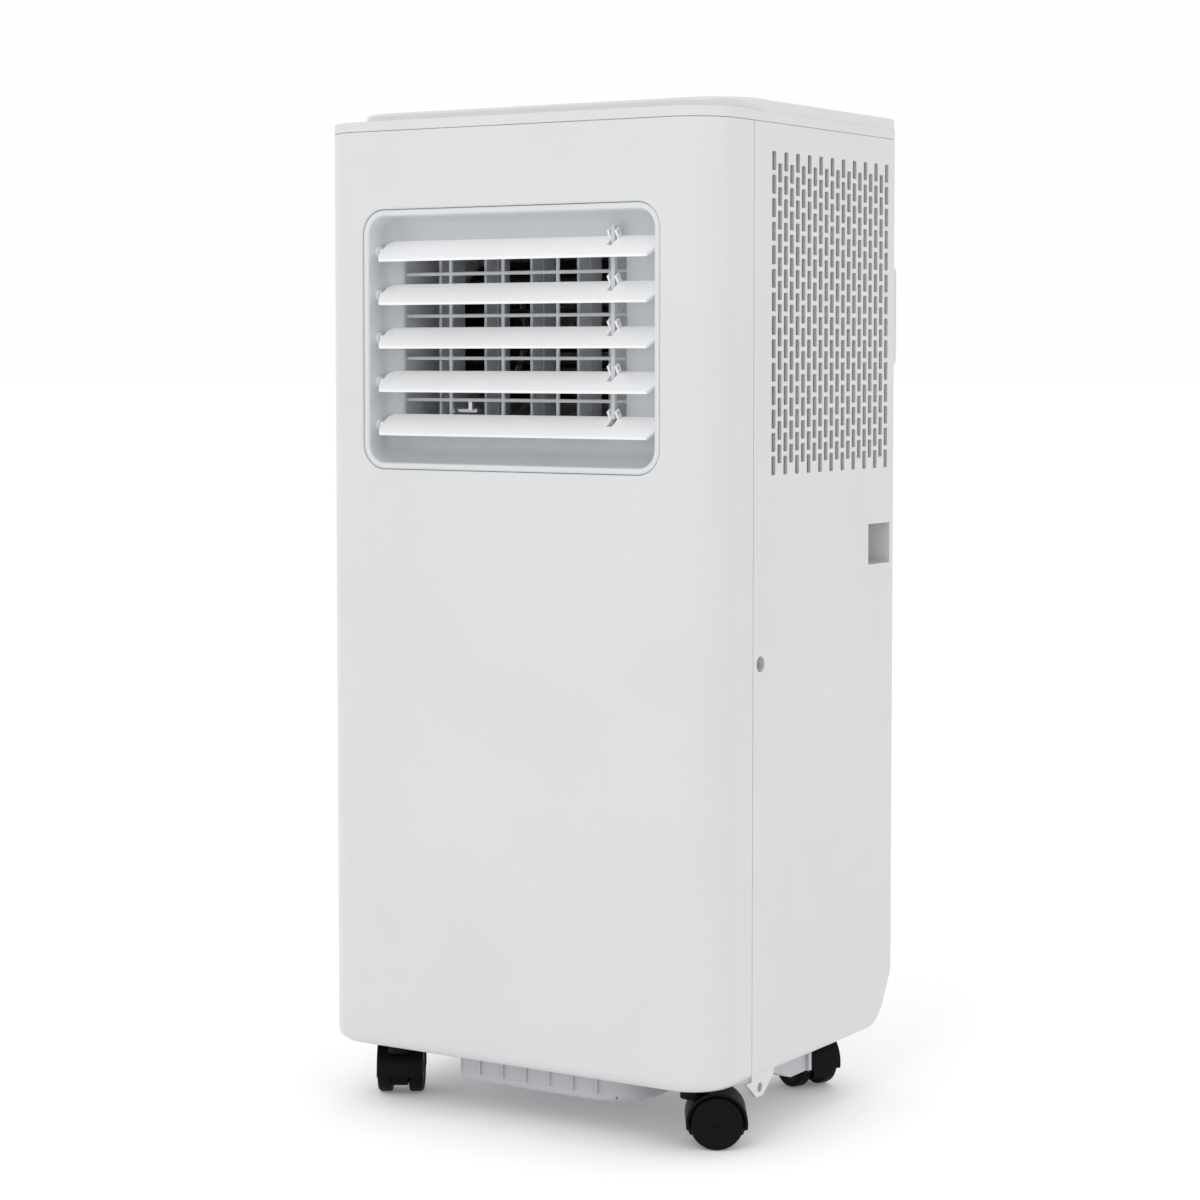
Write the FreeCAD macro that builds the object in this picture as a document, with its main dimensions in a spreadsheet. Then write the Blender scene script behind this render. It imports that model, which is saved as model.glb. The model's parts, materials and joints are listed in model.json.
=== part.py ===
import FreeCAD, Part
import math
import os
import Sketcher
from FreeCAD import Placement, Rotation, Vector

# Free-standing portable air conditioner on four twin-wheel casters, in millimetres.
# Origin: on the floor, under the middle of the bounding box. +Z up, the front faces -Y,
# +X is the right-hand side of the front. "front" is the Y of the front face, and most depths
# are counted back from it.

doc = FreeCAD.newDocument("PortableAirConditioner")
sheet = doc.addObject("Spreadsheet::Sheet", "Sizes")

DRIVING_SIZES = {
    # cabinet
    "body_width": (316.0, "cabinet, side to side"),
    "body_depth": (262.0, "cabinet, front to back"),
    "body_base": (44.5, "floor to the cabinet's lower edge"),
    "seam_height": (674.5, "floor to the joint under the top cover"),
    "total_height": (690.0, "floor to the top"),
    "wall": (2.5, "moulded wall"),
    "front_radius": (33.0, "front vertical corners"),
    "rear_radius": (6.0, "rear vertical corners"),
    "bottom_round": (8.0, "rounding along the lower edge"),
    "front_shell_depth": (54.0, "front face to the vertical joint"),
    "seam_gap": (0.4, "gap left at the visible joints"),
    "chamfer_top": (92.0, "where the rear slope starts, up"),
    "chamfer_knee_up": (59.0, "knee of the rear slope, up"),
    "chamfer_knee_in": (19.0, "knee of the rear slope, in from the rear"),
    "chamfer_foot_in": (35.0, "foot of the rear slope, in from the rear"),
    "floor_margin": (20.0, "edge of the opening in the cabinet's floor"),
    # top
    "ledge_height": (681.5, "top of the front ledge"),
    "lid_setback": (33.0, "front face to the raised lid"),
    "lid_radius": (39.0, "front corners of the raised lid"),
    "lid_step": (0.6, "raised lid in from the ledge, at the sides and rear"),
    "lid_thickness": (3.0, "lid plate"),
    "panel_width": (200.0, "control panel, side to side"),
    "panel_depth": (62.0, "control panel, front to back"),
    "panel_start": (70.0, "front face to the control panel"),
    "panel_thick": (2.0, "control panel plate"),
    "panel_sink": (0.4, "control panel below the lid's top"),
    "button_radius": (7.5, "button cap"),
    "button_flange": (1.5, "how far a button's flange stands out"),
    "button_slack": (0.3, "gap round a button"),
    "button_depth": (5.2, "height of a button's cap"),
    "display_width": (52.0, "display window, side to side"),
    "display_depth": (24.0, "display window, front to back"),
    "display_thick": (1.2, "display window plate"),
    # air outlet
    "outlet_width": (236.7, "outlet, side to side"),
    "outlet_low": (445.0, "outlet's lower edge"),
    "outlet_high": (621.5, "outlet's upper edge"),
    "outlet_radius": (17.0, "outlet's corners"),
    "outlet_fit": (0.2, "gap round the outlet frame"),
    "rim_width": (4.5, "bevelled rim of the outlet"),
    "rim_bevel": (4.1, "bevel of that rim"),
    "recess_depth": (26.0, "front face to the back of the recess"),
    "duct_left": (102.0, "air opening, to the left of the middle"),
    "duct_right": (77.0, "air opening, to the right of the middle"),
    "duct_low": (470.0, "air opening's lower edge"),
    "duct_high": (598.0, "air opening's upper edge"),
    "duct_end": (62.5, "front face to the back of the duct"),
    "louver_pitch": (29.6, "from one louver to the next"),
    "louver_top": (593.6, "pivot of the top louver"),
    "louver_depth": (12.8, "front face to the louver pivots"),
    "louver_chord": (23.0, "louver, front edge to back edge"),
    "louver_thick": (2.0, "louver blade"),
    "louver_half": (110.8, "half a louver's length"),
    "louver_clip": (4.0, "corner cut off a louver's front end"),
    "louver_tilt": (34.0, "louver's slope at rest, degrees"),
    "pivot_radius": (2.0, "louver pivots"),
    "running_gap": (0.05, "radial clearance of a pivot"),
    "link_x": (73.0, "middle of the link rod"),
    "link_back": (10.0, "link pin behind the pivot, along the blade"),
    "link_up": (5.0, "link pin above the blade"),
    "link_width": (3.0, "link rod, side to side"),
    "link_thick": (2.8, "link rod, front to back"),
    "guard_depth": (29.0, "front face to the finger guard"),
    "guard_bar": (2.4, "finger guard's bars"),
    "vane_pitch": (37.4, "from one vane to the next"),
    "vane_first": (-76.5, "leftmost vane"),
    "vane_depth": (47.5, "front face to the vane pivots"),
    "vane_chord": (28.0, "vane, front to back"),
    "vane_low": (476.0, "lower edge of the vanes"),
    "vane_high": (595.0, "upper edge of the vanes"),
    # side grilles
    "grille_start": (76.0, "front face to the side grille"),
    "grille_end": (250.0, "front face to the far end of the side grille"),
    "grille_low": (438.0, "side grille's lower edge"),
    "grille_high": (662.0, "side grille's upper edge"),
    "slot_width": (5.3, "one slot, front to back"),
    "slot_height": (12.5, "one slot, up"),
    "slot_column": (8.2, "from one column of slots to the next"),
    "slot_row": (15.4, "from one slot to the next above"),
    # air movers and coils
    "blower_depth": (135.0, "front face to the blower's axis"),
    "blower_height": (540.0, "blower's axis"),
    "scroll_radius": (68.0, "blower scroll"),
    "scroll_wall": (2.0, "sheet of the scroll and the exhaust duct"),
    "blower_radius": (50.0, "blower wheel"),
    "fan_x": (45.0, "condenser fan's axis, side to side"),
    "fan_height": (170.0, "condenser fan's axis"),
    "fan_radius": (70.0, "condenser fan wheel"),
    "shaft_radius": (4.0, "motor shafts"),
    "collar_radius": (71.0, "exhaust collar, outside"),
    "collar_bore": (66.0, "exhaust collar, inside"),
    "collar_height": (322.0, "exhaust collar's axis"),
    "collar_reach": (10.0, "exhaust collar behind the rear wall"),
    "duct_box_start": (150.0, "front face to the exhaust duct"),
    "duct_box_end": (208.0, "front face to the back of the exhaust duct"),
    # rear and base
    "hook_reach": (12.0, "cord hooks behind the rear wall"),
    "hook_low": (513.0, "cord hooks' lower end"),
    "hook_high": (588.0, "cord hooks' upper end"),
    "grip_start": (219.0, "front face to the grip"),
    "grip_end": (252.0, "front face to the far end of the grip"),
    "grip_low": (376.0, "grip's lower edge"),
    "grip_high": (404.5, "grip's upper edge"),
    "grip_depth": (20.0, "grip, into the cabinet"),
    "pan_top": (50.2, "top of the base pan"),
    "pan_thick": (3.0, "base pan plate"),
    "sump_low": (22.5, "underside of the sump"),
    "caster_x": (120.0, "swivel axes, from the middle"),
    "caster_front": (43.0, "front face to the front swivel axes"),
    "caster_rear": (218.0, "front face to the rear swivel axes"),
    "wheel_radius": (18.0, "caster wheel"),
    "wheel_width": (10.3, "caster wheel"),
    "wheel_gap": (11.9, "between a caster's two wheels"),
    "caster_trail": (15.0, "swivel axis to axle"),
    "hood_radius": (20.5, "caster hood"),
    "stem_radius": (5.0, "caster stem"),
    "axle_radius": (2.5, "caster axle"),
}


# ---------------------------------------------------------------- sizes that carry their expression

class Dim:
    """A size: its number, and the spreadsheet expression that gives it."""

    def __init__(self, value, text):
        self.value = value
        self.text = text

    def __add__(self, other):
        return Dim(self.value + number(other), "(%s + %s)" % (self.text, written(other)))

    def __radd__(self, other):
        return Dim(number(other) + self.value, "(%s + %s)" % (written(other), self.text))

    def __sub__(self, other):
        return Dim(self.value - number(other), "(%s - %s)" % (self.text, written(other)))

    def __rsub__(self, other):
        return Dim(number(other) - self.value, "(%s - %s)" % (written(other), self.text))

    def __mul__(self, other):
        return Dim(self.value * number(other), "(%s * %s)" % (self.text, written(other)))

    def __rmul__(self, other):
        return self * other

    def __truediv__(self, other):
        return Dim(self.value / number(other), "(%s / %s)" % (self.text, written(other)))

    def __neg__(self):
        return Dim(-self.value, "(0 - %s)" % self.text)


def number(size):
    return size.value if isinstance(size, Dim) else float(size)


def written(size):
    return size.text if isinstance(size, Dim) else "(%r)" % float(size)


class Sizes:
    """One attribute for each named cell of the spreadsheet."""


s = Sizes()
for row, (alias, (value, note)) in enumerate(DRIVING_SIZES.items(), start=1):
    sheet.set("A%d" % row, alias)
    sheet.set("B%d" % row, str(value))
    sheet.set("C%d" % row, note)
    sheet.setAlias("B%d" % row, alias)
    setattr(s, alias, Dim(value, "Sizes.%s" % alias))
doc.recompute()

front = 0 - (s.body_depth + s.hook_reach) / 2
rear = front + s.body_depth
half = s.body_width / 2
NOTHING = Dim(0.0, "0")
BEYOND = 20.0                # how far a cutting tool passes the piece it cuts
LOUVERS = 5
VANES = 4
sub_parts = []


# ---------------------------------------------------------------- primitives and booleans

def bind(thing, name, size):
    """Drives one property of an object from the spreadsheet."""
    thing.setExpression(name, written(size))


def put(thing, x, y, z):
    bind(thing, "Placement.Base.x", x)
    bind(thing, "Placement.Base.y", y)
    bind(thing, "Placement.Base.z", z)


def box(name, x, y, z):
    """A box from three (low, high) pairs."""
    solid = doc.addObject("Part::Box", name)
    for prop, pair in zip(("Length", "Width", "Height"), (x, y, z)):
        bind(solid, prop, pair[1] - pair[0])
    put(solid, x[0], y[0], z[0])
    return solid


TURNS = {
    "x": Rotation(Vector(0, 1, 0), 90),
    "y": Rotation(Vector(1, 0, 0), -90),
    "z": Rotation(),
}


def rod(name, axis, radius, start, length):
    """A cylinder that starts at a point and runs along +x, +y or +z."""
    solid = doc.addObject("Part::Cylinder", name)
    bind(solid, "Radius", radius)
    bind(solid, "Height", length)
    solid.Placement = Placement(Vector(), TURNS[axis])
    put(solid, *start)
    return solid


def fuse(name, pieces):
    joined = doc.addObject("Part::MultiFuse", name)
    joined.Shapes = pieces
    return joined


def cut(name, base, tools):
    """Base less all the tools."""
    result = doc.addObject("Part::Cut", name)
    result.Base = base
    if len(tools) == 1:
        result.Tool = tools[0]
    else:
        group = doc.addObject("Part::MultiFuse", name + "_tools")
        group.Shapes = tools
        result.Tool = group
    return result


def common(name, first, second):
    result = doc.addObject("Part::Common", name)
    result.Base = first
    result.Tool = second
    return result


def feature(name, shape):
    """A shape that neither primitives nor sketches suit."""
    solid = doc.addObject("Part::Feature", name)
    solid.Shape = shape
    return solid


def sub_part(label, thing):
    """Names a finished sub-part and lists it for writing."""
    thing.Label = label
    sub_parts.append(thing)
    return thing


# ---------------------------------------------------------------- bodies, sketches and features

def new_body(name):
    return doc.addObject("PartDesign::Body", name)


def sketch_on(body, role, offset):
    """An empty sketch on one of the body's own origin planes, moved along its normal."""
    plane = next(item for item in body.Origin.OriginFeatures if item.Role == role)
    drawing = body.newObject("Sketcher::SketchObject", body.Name + "_sketch")
    drawing.AttachmentSupport = [(plane, "")]
    drawing.MapMode = "FlatFace"
    bind(drawing, "AttachmentOffset.Base.z", offset)
    return drawing


def hold(drawing, kind, *where_and_size):
    """Adds one driven dimension to a sketch."""
    *where, size = where_and_size
    index = drawing.addConstraint(Sketcher.Constraint(kind, *where, number(size)))
    drawing.setExpression("Constraints[%d]" % index, written(size))


def outline(drawing, points):
    """A closed outline of straight lines, each corner held from the sketch's origin."""
    places = [Vector(number(a), number(b), 0) for a, b in points]
    first = drawing.GeometryCount
    count = len(points)
    for i in range(count):
        drawing.addGeometry(Part.LineSegment(places[i], places[(i + 1) % count]))
    for i in range(count):
        following = first + (i + 1) % count
        drawing.addConstraint(Sketcher.Constraint("Coincident", first + i, 2, following, 1))
    for i, (across, up) in enumerate(points):
        hold(drawing, "DistanceX", -1, 1, first + i, 1, across)
        hold(drawing, "DistanceY", -1, 1, first + i, 1, up)


def rectangle(drawing, low, high):
    (x0, y0), (x1, y1) = low, high
    outline(drawing, [(x0, y0), (x1, y0), (x1, y1), (x0, y1)])


def circle(drawing, across, up, radius):
    centre = Vector(number(across), number(up), 0)
    index = drawing.addGeometry(Part.Circle(centre, Vector(0, 0, 1), number(radius)))
    hold(drawing, "DistanceX", -1, 1, index, 3, across)
    hold(drawing, "DistanceY", -1, 1, index, 3, up)
    hold(drawing, "Radius", index, radius)


def grow(body, kind, drawing, length, flip=False, both_ways=False):
    """A Pad or a Pocket of a sketch."""
    step = body.newObject("PartDesign::" + kind, body.Name + "_" + kind.lower())
    step.Profile = drawing
    bind(step, "Length", length)
    step.Reversed = flip
    if both_ways:
        step.SideType = "Symmetric"
    doc.recompute()
    return step


def dress(body, kind, edges, size):
    """A Fillet or a Chamfer of the body's tip, on edges picked by a test."""
    tip = body.Tip
    names = ["Edge%d" % (i + 1) for i, edge in enumerate(tip.Shape.Edges) if edges(edge)]
    if not names:
        raise RuntimeError("no edge to dress on " + body.Name)
    step = body.newObject("PartDesign::" + kind, body.Name + "_" + kind.lower())
    step.Base = (tip, names)
    bind(step, "Radius" if kind == "Fillet" else "Size", size)
    doc.recompute()
    return step


def is_along(edge, axis):
    """True for a straight edge parallel to an axis."""
    if edge.Curve.TypeId != "Part::GeomLine":
        return False
    return abs(abs(edge.Curve.Direction.dot(axis)) - 1) < 1e-6


def middle(edge):
    return edge.BoundBox.Center


X, Y, Z = Vector(1, 0, 0), Vector(0, 1, 0), Vector(0, 0, 1)
NEAR = 0.05                  # how close an edge has to be to the place a test gives


# ---------------------------------------------------------------- cabinet

def cabinet_block(name, inset, low, high):
    """The cabinet's outer form moved in by inset: round corners, rounded foot, rear slope."""
    body = new_body(name)
    drawing = sketch_on(body, "XY_Plane", low)
    rectangle(drawing, (inset - half, front + inset), (half - inset, rear - inset))
    grow(body, "Pad", drawing, high - low)
    middle_y = number(front + rear) / 2
    dress(body, "Fillet", lambda e: is_along(e, Z) and middle(e).y < middle_y, s.front_radius - inset)
    dress(body, "Fillet", lambda e: is_along(e, Z) and middle(e).y > number(rear - inset) - NEAR,
          s.rear_radius - inset)

    slope = sketch_on(body, "YZ_Plane", 0)
    lift = inset / 4
    foot_y = rear - s.chamfer_foot_in - inset
    outline(slope, [
        (rear + BEYOND, s.chamfer_top + lift),
        (rear - inset, s.chamfer_top + lift),
        (rear - s.chamfer_knee_in - inset, s.chamfer_knee_up + lift),
        (foot_y, s.body_base + lift),
        (foot_y, s.body_base - BEYOND),
        (rear + BEYOND, s.body_base - BEYOND),
    ])
    grow(body, "Pocket", slope, s.body_width + BEYOND, both_ways=True)

    def runs_round_the_foot(edge):
        box_ = edge.BoundBox
        level = box_.ZMax < number(low) + NEAR
        return level and not (is_along(edge, X) and middle(edge).y > 0)

    dress(body, "Fillet", runs_round_the_foot, s.bottom_round - inset)
    return body


def cabinet_shell():
    outer = cabinet_block("cabinet_outer", NOTHING, s.body_base, s.seam_height)
    inner = cabinet_block("cabinet_inner", s.wall, s.body_base + s.wall, s.seam_height + BEYOND)
    edge = s.floor_margin
    floor = box("cabinet_floor_opening", (edge - half, half - edge),
                (front + edge, rear - s.chamfer_foot_in),
                (s.body_base - BEYOND, s.pan_top))
    return cut("cabinet_shell", outer, [inner, floor])


def rounded_bar(name, start, length, margin, radius, bevel=None):
    """A bar along +Y with the outlet's outline moved in by margin; bevel narrows its far end."""
    body = new_body(name)
    drawing = sketch_on(body, "XZ_Plane", 0 - start - length)
    wide = s.outlet_width / 2 - margin
    rectangle(drawing, (0 - wide, s.outlet_low + margin), (wide, s.outlet_high - margin))
    grow(body, "Pad", drawing, length)
    dress(body, "Fillet", lambda e: is_along(e, Y), radius)
    if bevel is not None:
        far = number(start + length) - NEAR
        dress(body, "Chamfer", lambda e: e.BoundBox.YMin > far, bevel)
    return body


def front_housing(shell):
    zone = box("front_zone", (0 - half - BEYOND, half + BEYOND),
               (front - BEYOND, front + s.front_shell_depth - s.seam_gap / 2), (0, s.total_height))
    hole = rounded_bar("outlet_hole", front - BEYOND, s.body_depth / 4, NOTHING, s.outlet_radius)
    sub_part("front_housing", cut("front_housing", common("front_shell", shell, zone), [hole]))


SCREW_DEPTH = 64.0           # side screw, back from the front face
SCREW_HEIGHT = 320.0
SCREW_CUP = (5.3, 7.3, 10.0)     # inner radius, outer radius, depth
SCREW_HEAD = (4.0, 2.4)          # radius, height
SCREW_SHANK = (2.0, 9.0)         # radius, length
GLAND = (-110.0, 165.0)      # cord gland's x and z
DRAIN = (-62.0, 112.0)       # drain plug's x and z
GLAND_HOLE = 8.0
DRAIN_HOLE = 8.05
FILTER = (125.0, 430.0, 650.0)   # half width, low and high of the rear filter's window
REAR_SLOTS = (4, 12)         # columns and rows of the lower rear grille
REAR_SLOT = (44.0, 6.0)      # one slot of it, across and up
REAR_SLOT_STEP = (50.0, 11.5)
REAR_SLOT_START = (-55.0, 103.0)
LUG = (56.0, 86.0, 62.0, 71.0, 12.0)     # top from, top to, bottom from, bottom to, drop
LUG_TOE = (48.5, 0.5)        # how far forward the tab reaches below the front housing, and the gap under it
LUG_HOLE = 3.2


def side_cutters(side):
    """Holes in one side of the rear housing: grille, grip and screw. side is 1 or -1."""
    name = "right" if side > 0 else "left"
    across = (half - s.wall - 1, half + 1) if side > 0 else (0 - half - 1, 0 - half + s.wall + 1)
    grille = box(name + "_grille_hole", across, (front + s.grille_start, front + s.grille_end),
                 (s.grille_low, s.grille_high))
    grip = box(name + "_grip_hole", across, (front + s.grip_start, front + s.grip_end),
               (s.grip_low, s.grip_high))
    start = half - SCREW_CUP[2] + 1 if side > 0 else 0 - half - 1
    screw = rod(name + "_screw_hole", "x", SCREW_CUP[0], (start, front + SCREW_DEPTH, SCREW_HEIGHT),
                SCREW_CUP[2])
    return [grille, grip, screw]


def screw_cup(side):
    """The sunk cup that holds one side screw."""
    name = "right" if side > 0 else "left"
    deep = SCREW_CUP[2]
    start = half - s.wall - deep if side > 0 else s.wall - half
    place = (start, front + SCREW_DEPTH, SCREW_HEIGHT)
    outer = rod(name + "_cup_outer", "x", SCREW_CUP[1], place, deep)
    inner_start = start + s.wall if side > 0 else start - s.wall
    inner = rod(name + "_cup_inner", "x", SCREW_CUP[0], (inner_start,) + place[1:], deep)
    hole = rod(name + "_cup_hole", "x", SCREW_SHANK[0] + 0.05, place, deep)
    return cut(name + "_cup", outer, [inner, hole])


def side_lug(side):
    """The bolting tab that hangs below one side."""
    body = new_body("right_lug" if side > 0 else "left_lug")
    inner_face = half - s.wall - 1.0
    drawing = sketch_on(body, "YZ_Plane", inner_face if side > 0 else 0 - inner_face)
    top_from, top_to, low_from, low_to, drop = LUG
    toe, gap = LUG_TOE
    lift = s.body_base + s.bottom_round
    outline(drawing, [
        (front + top_from, lift),
        (front + top_from, s.body_base - gap),
        (front + toe, s.body_base - gap),
        (front + low_from, s.body_base - drop),
        (front + low_to, s.body_base - drop),
        (front + top_to, s.body_base),
        (front + top_to, lift),
    ])
    circle(drawing, front + (low_from + low_to) / 2, s.body_base - drop / 2, LUG_HOLE)
    grow(body, "Pad", drawing, s.wall, flip=side < 0)
    return body


def rear_slots():
    """Tools for the horizontal slots of the lower rear grille."""
    tools = []
    columns, rows = REAR_SLOTS
    for column in range(columns):
        for row in range(rows):
            x = REAR_SLOT_START[0] + column * REAR_SLOT_STEP[0]
            z = REAR_SLOT_START[1] + row * REAR_SLOT_STEP[1]
            tools.append(box("rear_slot", (x, x + REAR_SLOT[0]), (rear - s.wall - 1, rear + 1),
                             (z, z + REAR_SLOT[1])))
    return tools


def rear_housing(shell):
    zone = box("rear_zone", (0 - half - BEYOND, half + BEYOND),
               (front + s.front_shell_depth + s.seam_gap / 2, rear + BEYOND), (0, s.total_height))
    through = s.wall * 2
    wall_start = rear - s.wall - 1
    drain_boss = rod("drain_boss", "y", DRAIN_HOLE + 2.5, (DRAIN[0], rear - s.wall - 14, DRAIN[1]), 15.0)
    walls = fuse("rear_walls", [common("rear_shell", shell, zone), screw_cup(1), screw_cup(-1),
                                side_lug(1), side_lug(-1), drain_boss])
    window = box("filter_hole", (-FILTER[0], FILTER[0]), (wall_start, rear + 1), (FILTER[1], FILTER[2]))
    collar = rod("collar_hole", "y", s.collar_radius + 0.3, (s.fan_x, wall_start, s.collar_height), through)
    gland = rod("gland_hole", "y", GLAND_HOLE, (GLAND[0], wall_start, GLAND[1]), through)
    drain = rod("drain_hole", "y", DRAIN_HOLE, (DRAIN[0], rear - s.wall - 12, DRAIN[1]), 17.0)
    tools = side_cutters(1) + side_cutters(-1) + [window, collar, gland, drain] + rear_slots()
    sub_part("rear_housing", cut("rear_housing", walls, tools))


def plate_with_holes(name, x0, thick, y_range, z_range, holes):
    """A plate square to X with rectangular holes, drawn as one face with hole wires and thickened."""
    def loop(y0, y1, z0, z1):
        corners = [Vector(x0, y0, z0), Vector(x0, y1, z0), Vector(x0, y1, z1), Vector(x0, y0, z1)]
        return Part.makePolygon(corners + corners[:1])

    wires = [loop(*y_range, *z_range)] + [loop(*hole) for hole in holes]
    face = Part.makeFace(Part.makeCompound(wires), "Part::FaceMakerBullseye")
    return feature(name, face.extrude(Vector(thick, 0, 0)))


def grille_slots():
    """(y0, y1, z0, z1) of every slot: columns alternate between two staggered rows."""
    centre_y = number(front + (s.grille_start + s.grille_end) / 2)
    centre_z = number(s.grille_low + s.grille_high) / 2
    wide, tall = s.slot_width.value, s.slot_height.value
    slots = []
    for column in range(-10, 11):
        count = 14 if column % 2 == 0 else 13
        y = centre_y + column * s.slot_column.value
        for row in range(count):
            z = centre_z + (row - (count - 1) / 2) * s.slot_row.value
            slots.append((y - wide / 2, y + wide / 2, z - tall / 2, z + tall / 2))
    return slots


GRILLE_RIB = (4.5, 2.0, 55.0)     # depth, height and spacing of the ribs behind a side grille


def intake_grille(side):
    """A slotted side plate with three ribs behind it."""
    name = "right_intake_grille" if side > 0 else "left_intake_grille"
    fit = s.outlet_fit.value / 2
    x0 = half.value - s.wall.value if side > 0 else -half.value
    y_range = (number(front + s.grille_start) + fit, number(front + s.grille_end) - fit)
    z_range = (s.grille_low.value + fit, s.grille_high.value - fit)
    pieces = [plate_with_holes(name + "_plate", x0, s.wall.value, y_range, z_range, grille_slots())]
    depth, height, spacing = GRILLE_RIB
    inner = half - s.wall
    across = (inner - depth, inner) if side > 0 else (0 - inner, 0 - inner + depth)
    for i in (-1, 0, 1):
        z = (s.grille_low + s.grille_high) / 2 + i * spacing
        pieces.append(box(name + "_rib", across, (front + s.grille_start + 2, front + s.grille_end - 2),
                          (z - height / 2, z + height / 2)))
    sub_part(name, fuse(name, pieces))


def grip_cup(side):
    name = "right_cup" if side > 0 else "left_cup"
    margin = 1.5
    reach = s.grip_depth + s.wall + margin

    def span(deep, out):
        return (half - deep, half - out) if side > 0 else (out - half, deep - half)

    body = box(name + "_outer", span(reach, s.wall + 0.1),
               (front + s.grip_start - margin, front + s.grip_end + margin),
               (s.grip_low - margin, s.grip_high + margin))
    hollow = box(name + "_hollow", span(s.grip_depth, 0), (front + s.grip_start, front + s.grip_end),
                 (s.grip_low, s.grip_high))
    return cut(name, body, [hollow])


def top_cover():
    """The lid: a low ledge along the front, a raised plate behind it, hollow below."""
    body = new_body("lid")
    start = s.seam_height + s.seam_gap
    middle_y = number(front + rear) / 2

    def layer(inset, setback, low, high):
        drawing = sketch_on(body, "XY_Plane", low)
        rectangle(drawing, (inset - half, front + setback), (half - inset, rear - inset))
        grow(body, "Pad", drawing, high - low)

    def round_corners(inset, top, front_r):
        def corner(edge, is_front):
            outer = abs(abs(middle(edge).x) - number(half - inset)) < NEAR
            reaches = abs(edge.BoundBox.ZMax - number(top)) < NEAR
            return outer and reaches and is_along(edge, Z) and (middle(edge).y < middle_y) == is_front

        dress(body, "Fillet", lambda e: corner(e, True), front_r)
        dress(body, "Fillet", lambda e: corner(e, False), s.rear_radius - inset)

    # The lid's corners are rounded before the ledge's, so that the lid never overhangs it.
    layer(NOTHING, NOTHING, start, s.ledge_height)
    layer(s.lid_step, s.lid_setback, s.ledge_height, s.total_height)
    round_corners(s.lid_step, s.total_height, s.lid_radius)
    round_corners(NOTHING, s.ledge_height, s.front_radius)
    margin, corner_room = s.wall + 4, 24.0
    hollow = box("lid_hollow", (margin - half, half - margin),
                 (front + s.lid_setback + corner_room, rear - margin),
                 (start - 1, s.total_height - s.lid_thickness))
    panel_low = s.total_height - s.panel_sink - s.panel_thick
    seat = box("panel_seat", panel_span()[0], panel_span()[1], (panel_low, s.total_height + 1))
    holes = [rod("button_hole", "z", s.button_radius + s.button_slack, (x, y, s.seam_height), BEYOND)
             for x, y in button_places().values()]
    sub_part("top_cover", cut("top_cover", body, [hollow, seat] + holes))


def panel_span():
    return ((0 - s.panel_width / 2, s.panel_width / 2),
            (front + s.panel_start, front + s.panel_start + s.panel_depth))


def button_places():
    """Where each button sits, as (x, y)."""
    y = front + s.panel_start + s.panel_depth / 2
    return {
        "power_button": (0 - s.panel_width * 0.4, y),
        "mode_button": (0 - s.panel_width * 0.25, y),
        "warmer_button": (s.panel_width * 0.2, y),
        "cooler_button": (s.panel_width * 0.3, y),
        "speed_button": (s.panel_width * 0.4, y),
    }


def control_panel():
    low = s.total_height - s.panel_sink - s.panel_thick
    x_span, y_span = panel_span()
    fit = s.outlet_fit / 2
    plate = box("panel_plate", (x_span[0] + fit, x_span[1] - fit), (y_span[0] + fit, y_span[1] - fit),
                (low, low + s.panel_thick))
    y = front + s.panel_start + s.panel_depth / 2
    window = box("display_seat", (0 - s.display_width / 2 - fit, s.display_width / 2 + fit),
                 (y - s.display_depth / 2 - fit, y + s.display_depth / 2 + fit),
                 (low + s.panel_thick - s.display_thick, s.total_height + 1))
    holes = [rod("panel_hole", "z", s.button_radius + s.button_slack, (x, y_, s.seam_height), BEYOND)
             for x, y_ in button_places().values()]
    sub_part("control_panel", cut("control_panel", plate, [window] + holes))
    lens = box("display_window", (0 - s.display_width / 2, s.display_width / 2),
               (y - s.display_depth / 2, y + s.display_depth / 2),
               (low + s.panel_thick - s.display_thick, low + s.panel_thick))
    sub_part("display_window", lens)


def button(name, x, y):
    """A round cap with a wider flange that stops it under the lid."""
    body = new_body(name)
    low = s.total_height - s.button_depth
    flange = sketch_on(body, "XY_Plane", low - s.display_thick)
    circle(flange, 0, 0, s.button_radius + s.button_flange)
    grow(body, "Pad", flange, s.display_thick)
    cap = sketch_on(body, "XY_Plane", low)
    circle(cap, 0, 0, s.button_radius)
    grow(body, "Pad", cap, s.button_depth)
    top = s.total_height.value
    dress(body, "Fillet", lambda e: middle(e).z > top - NEAR, s.button_slack)
    put(body, x, y, 0)
    sub_part(name, body)


# ---------------------------------------------------------------- air outlet

def louver_pivots():
    """(name, z) of each louver's pivot, top to bottom."""
    return [("louver_%d" % (i + 1), s.louver_top - i * s.louver_pitch) for i in range(LOUVERS)]


def vane_places():
    return [("vane_%d" % (i + 1), s.vane_first + i * s.vane_pitch) for i in range(VANES)]


BUSH = (4.0, 2.1)            # radius and height of the bush round each louver pivot
BAFFLE_START = 42.0          # left edge of the plate that closes the duct's right end
BAFFLE_THICK = 1.0           # thin enough for the vanes and their bar to swing in front of it


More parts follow.
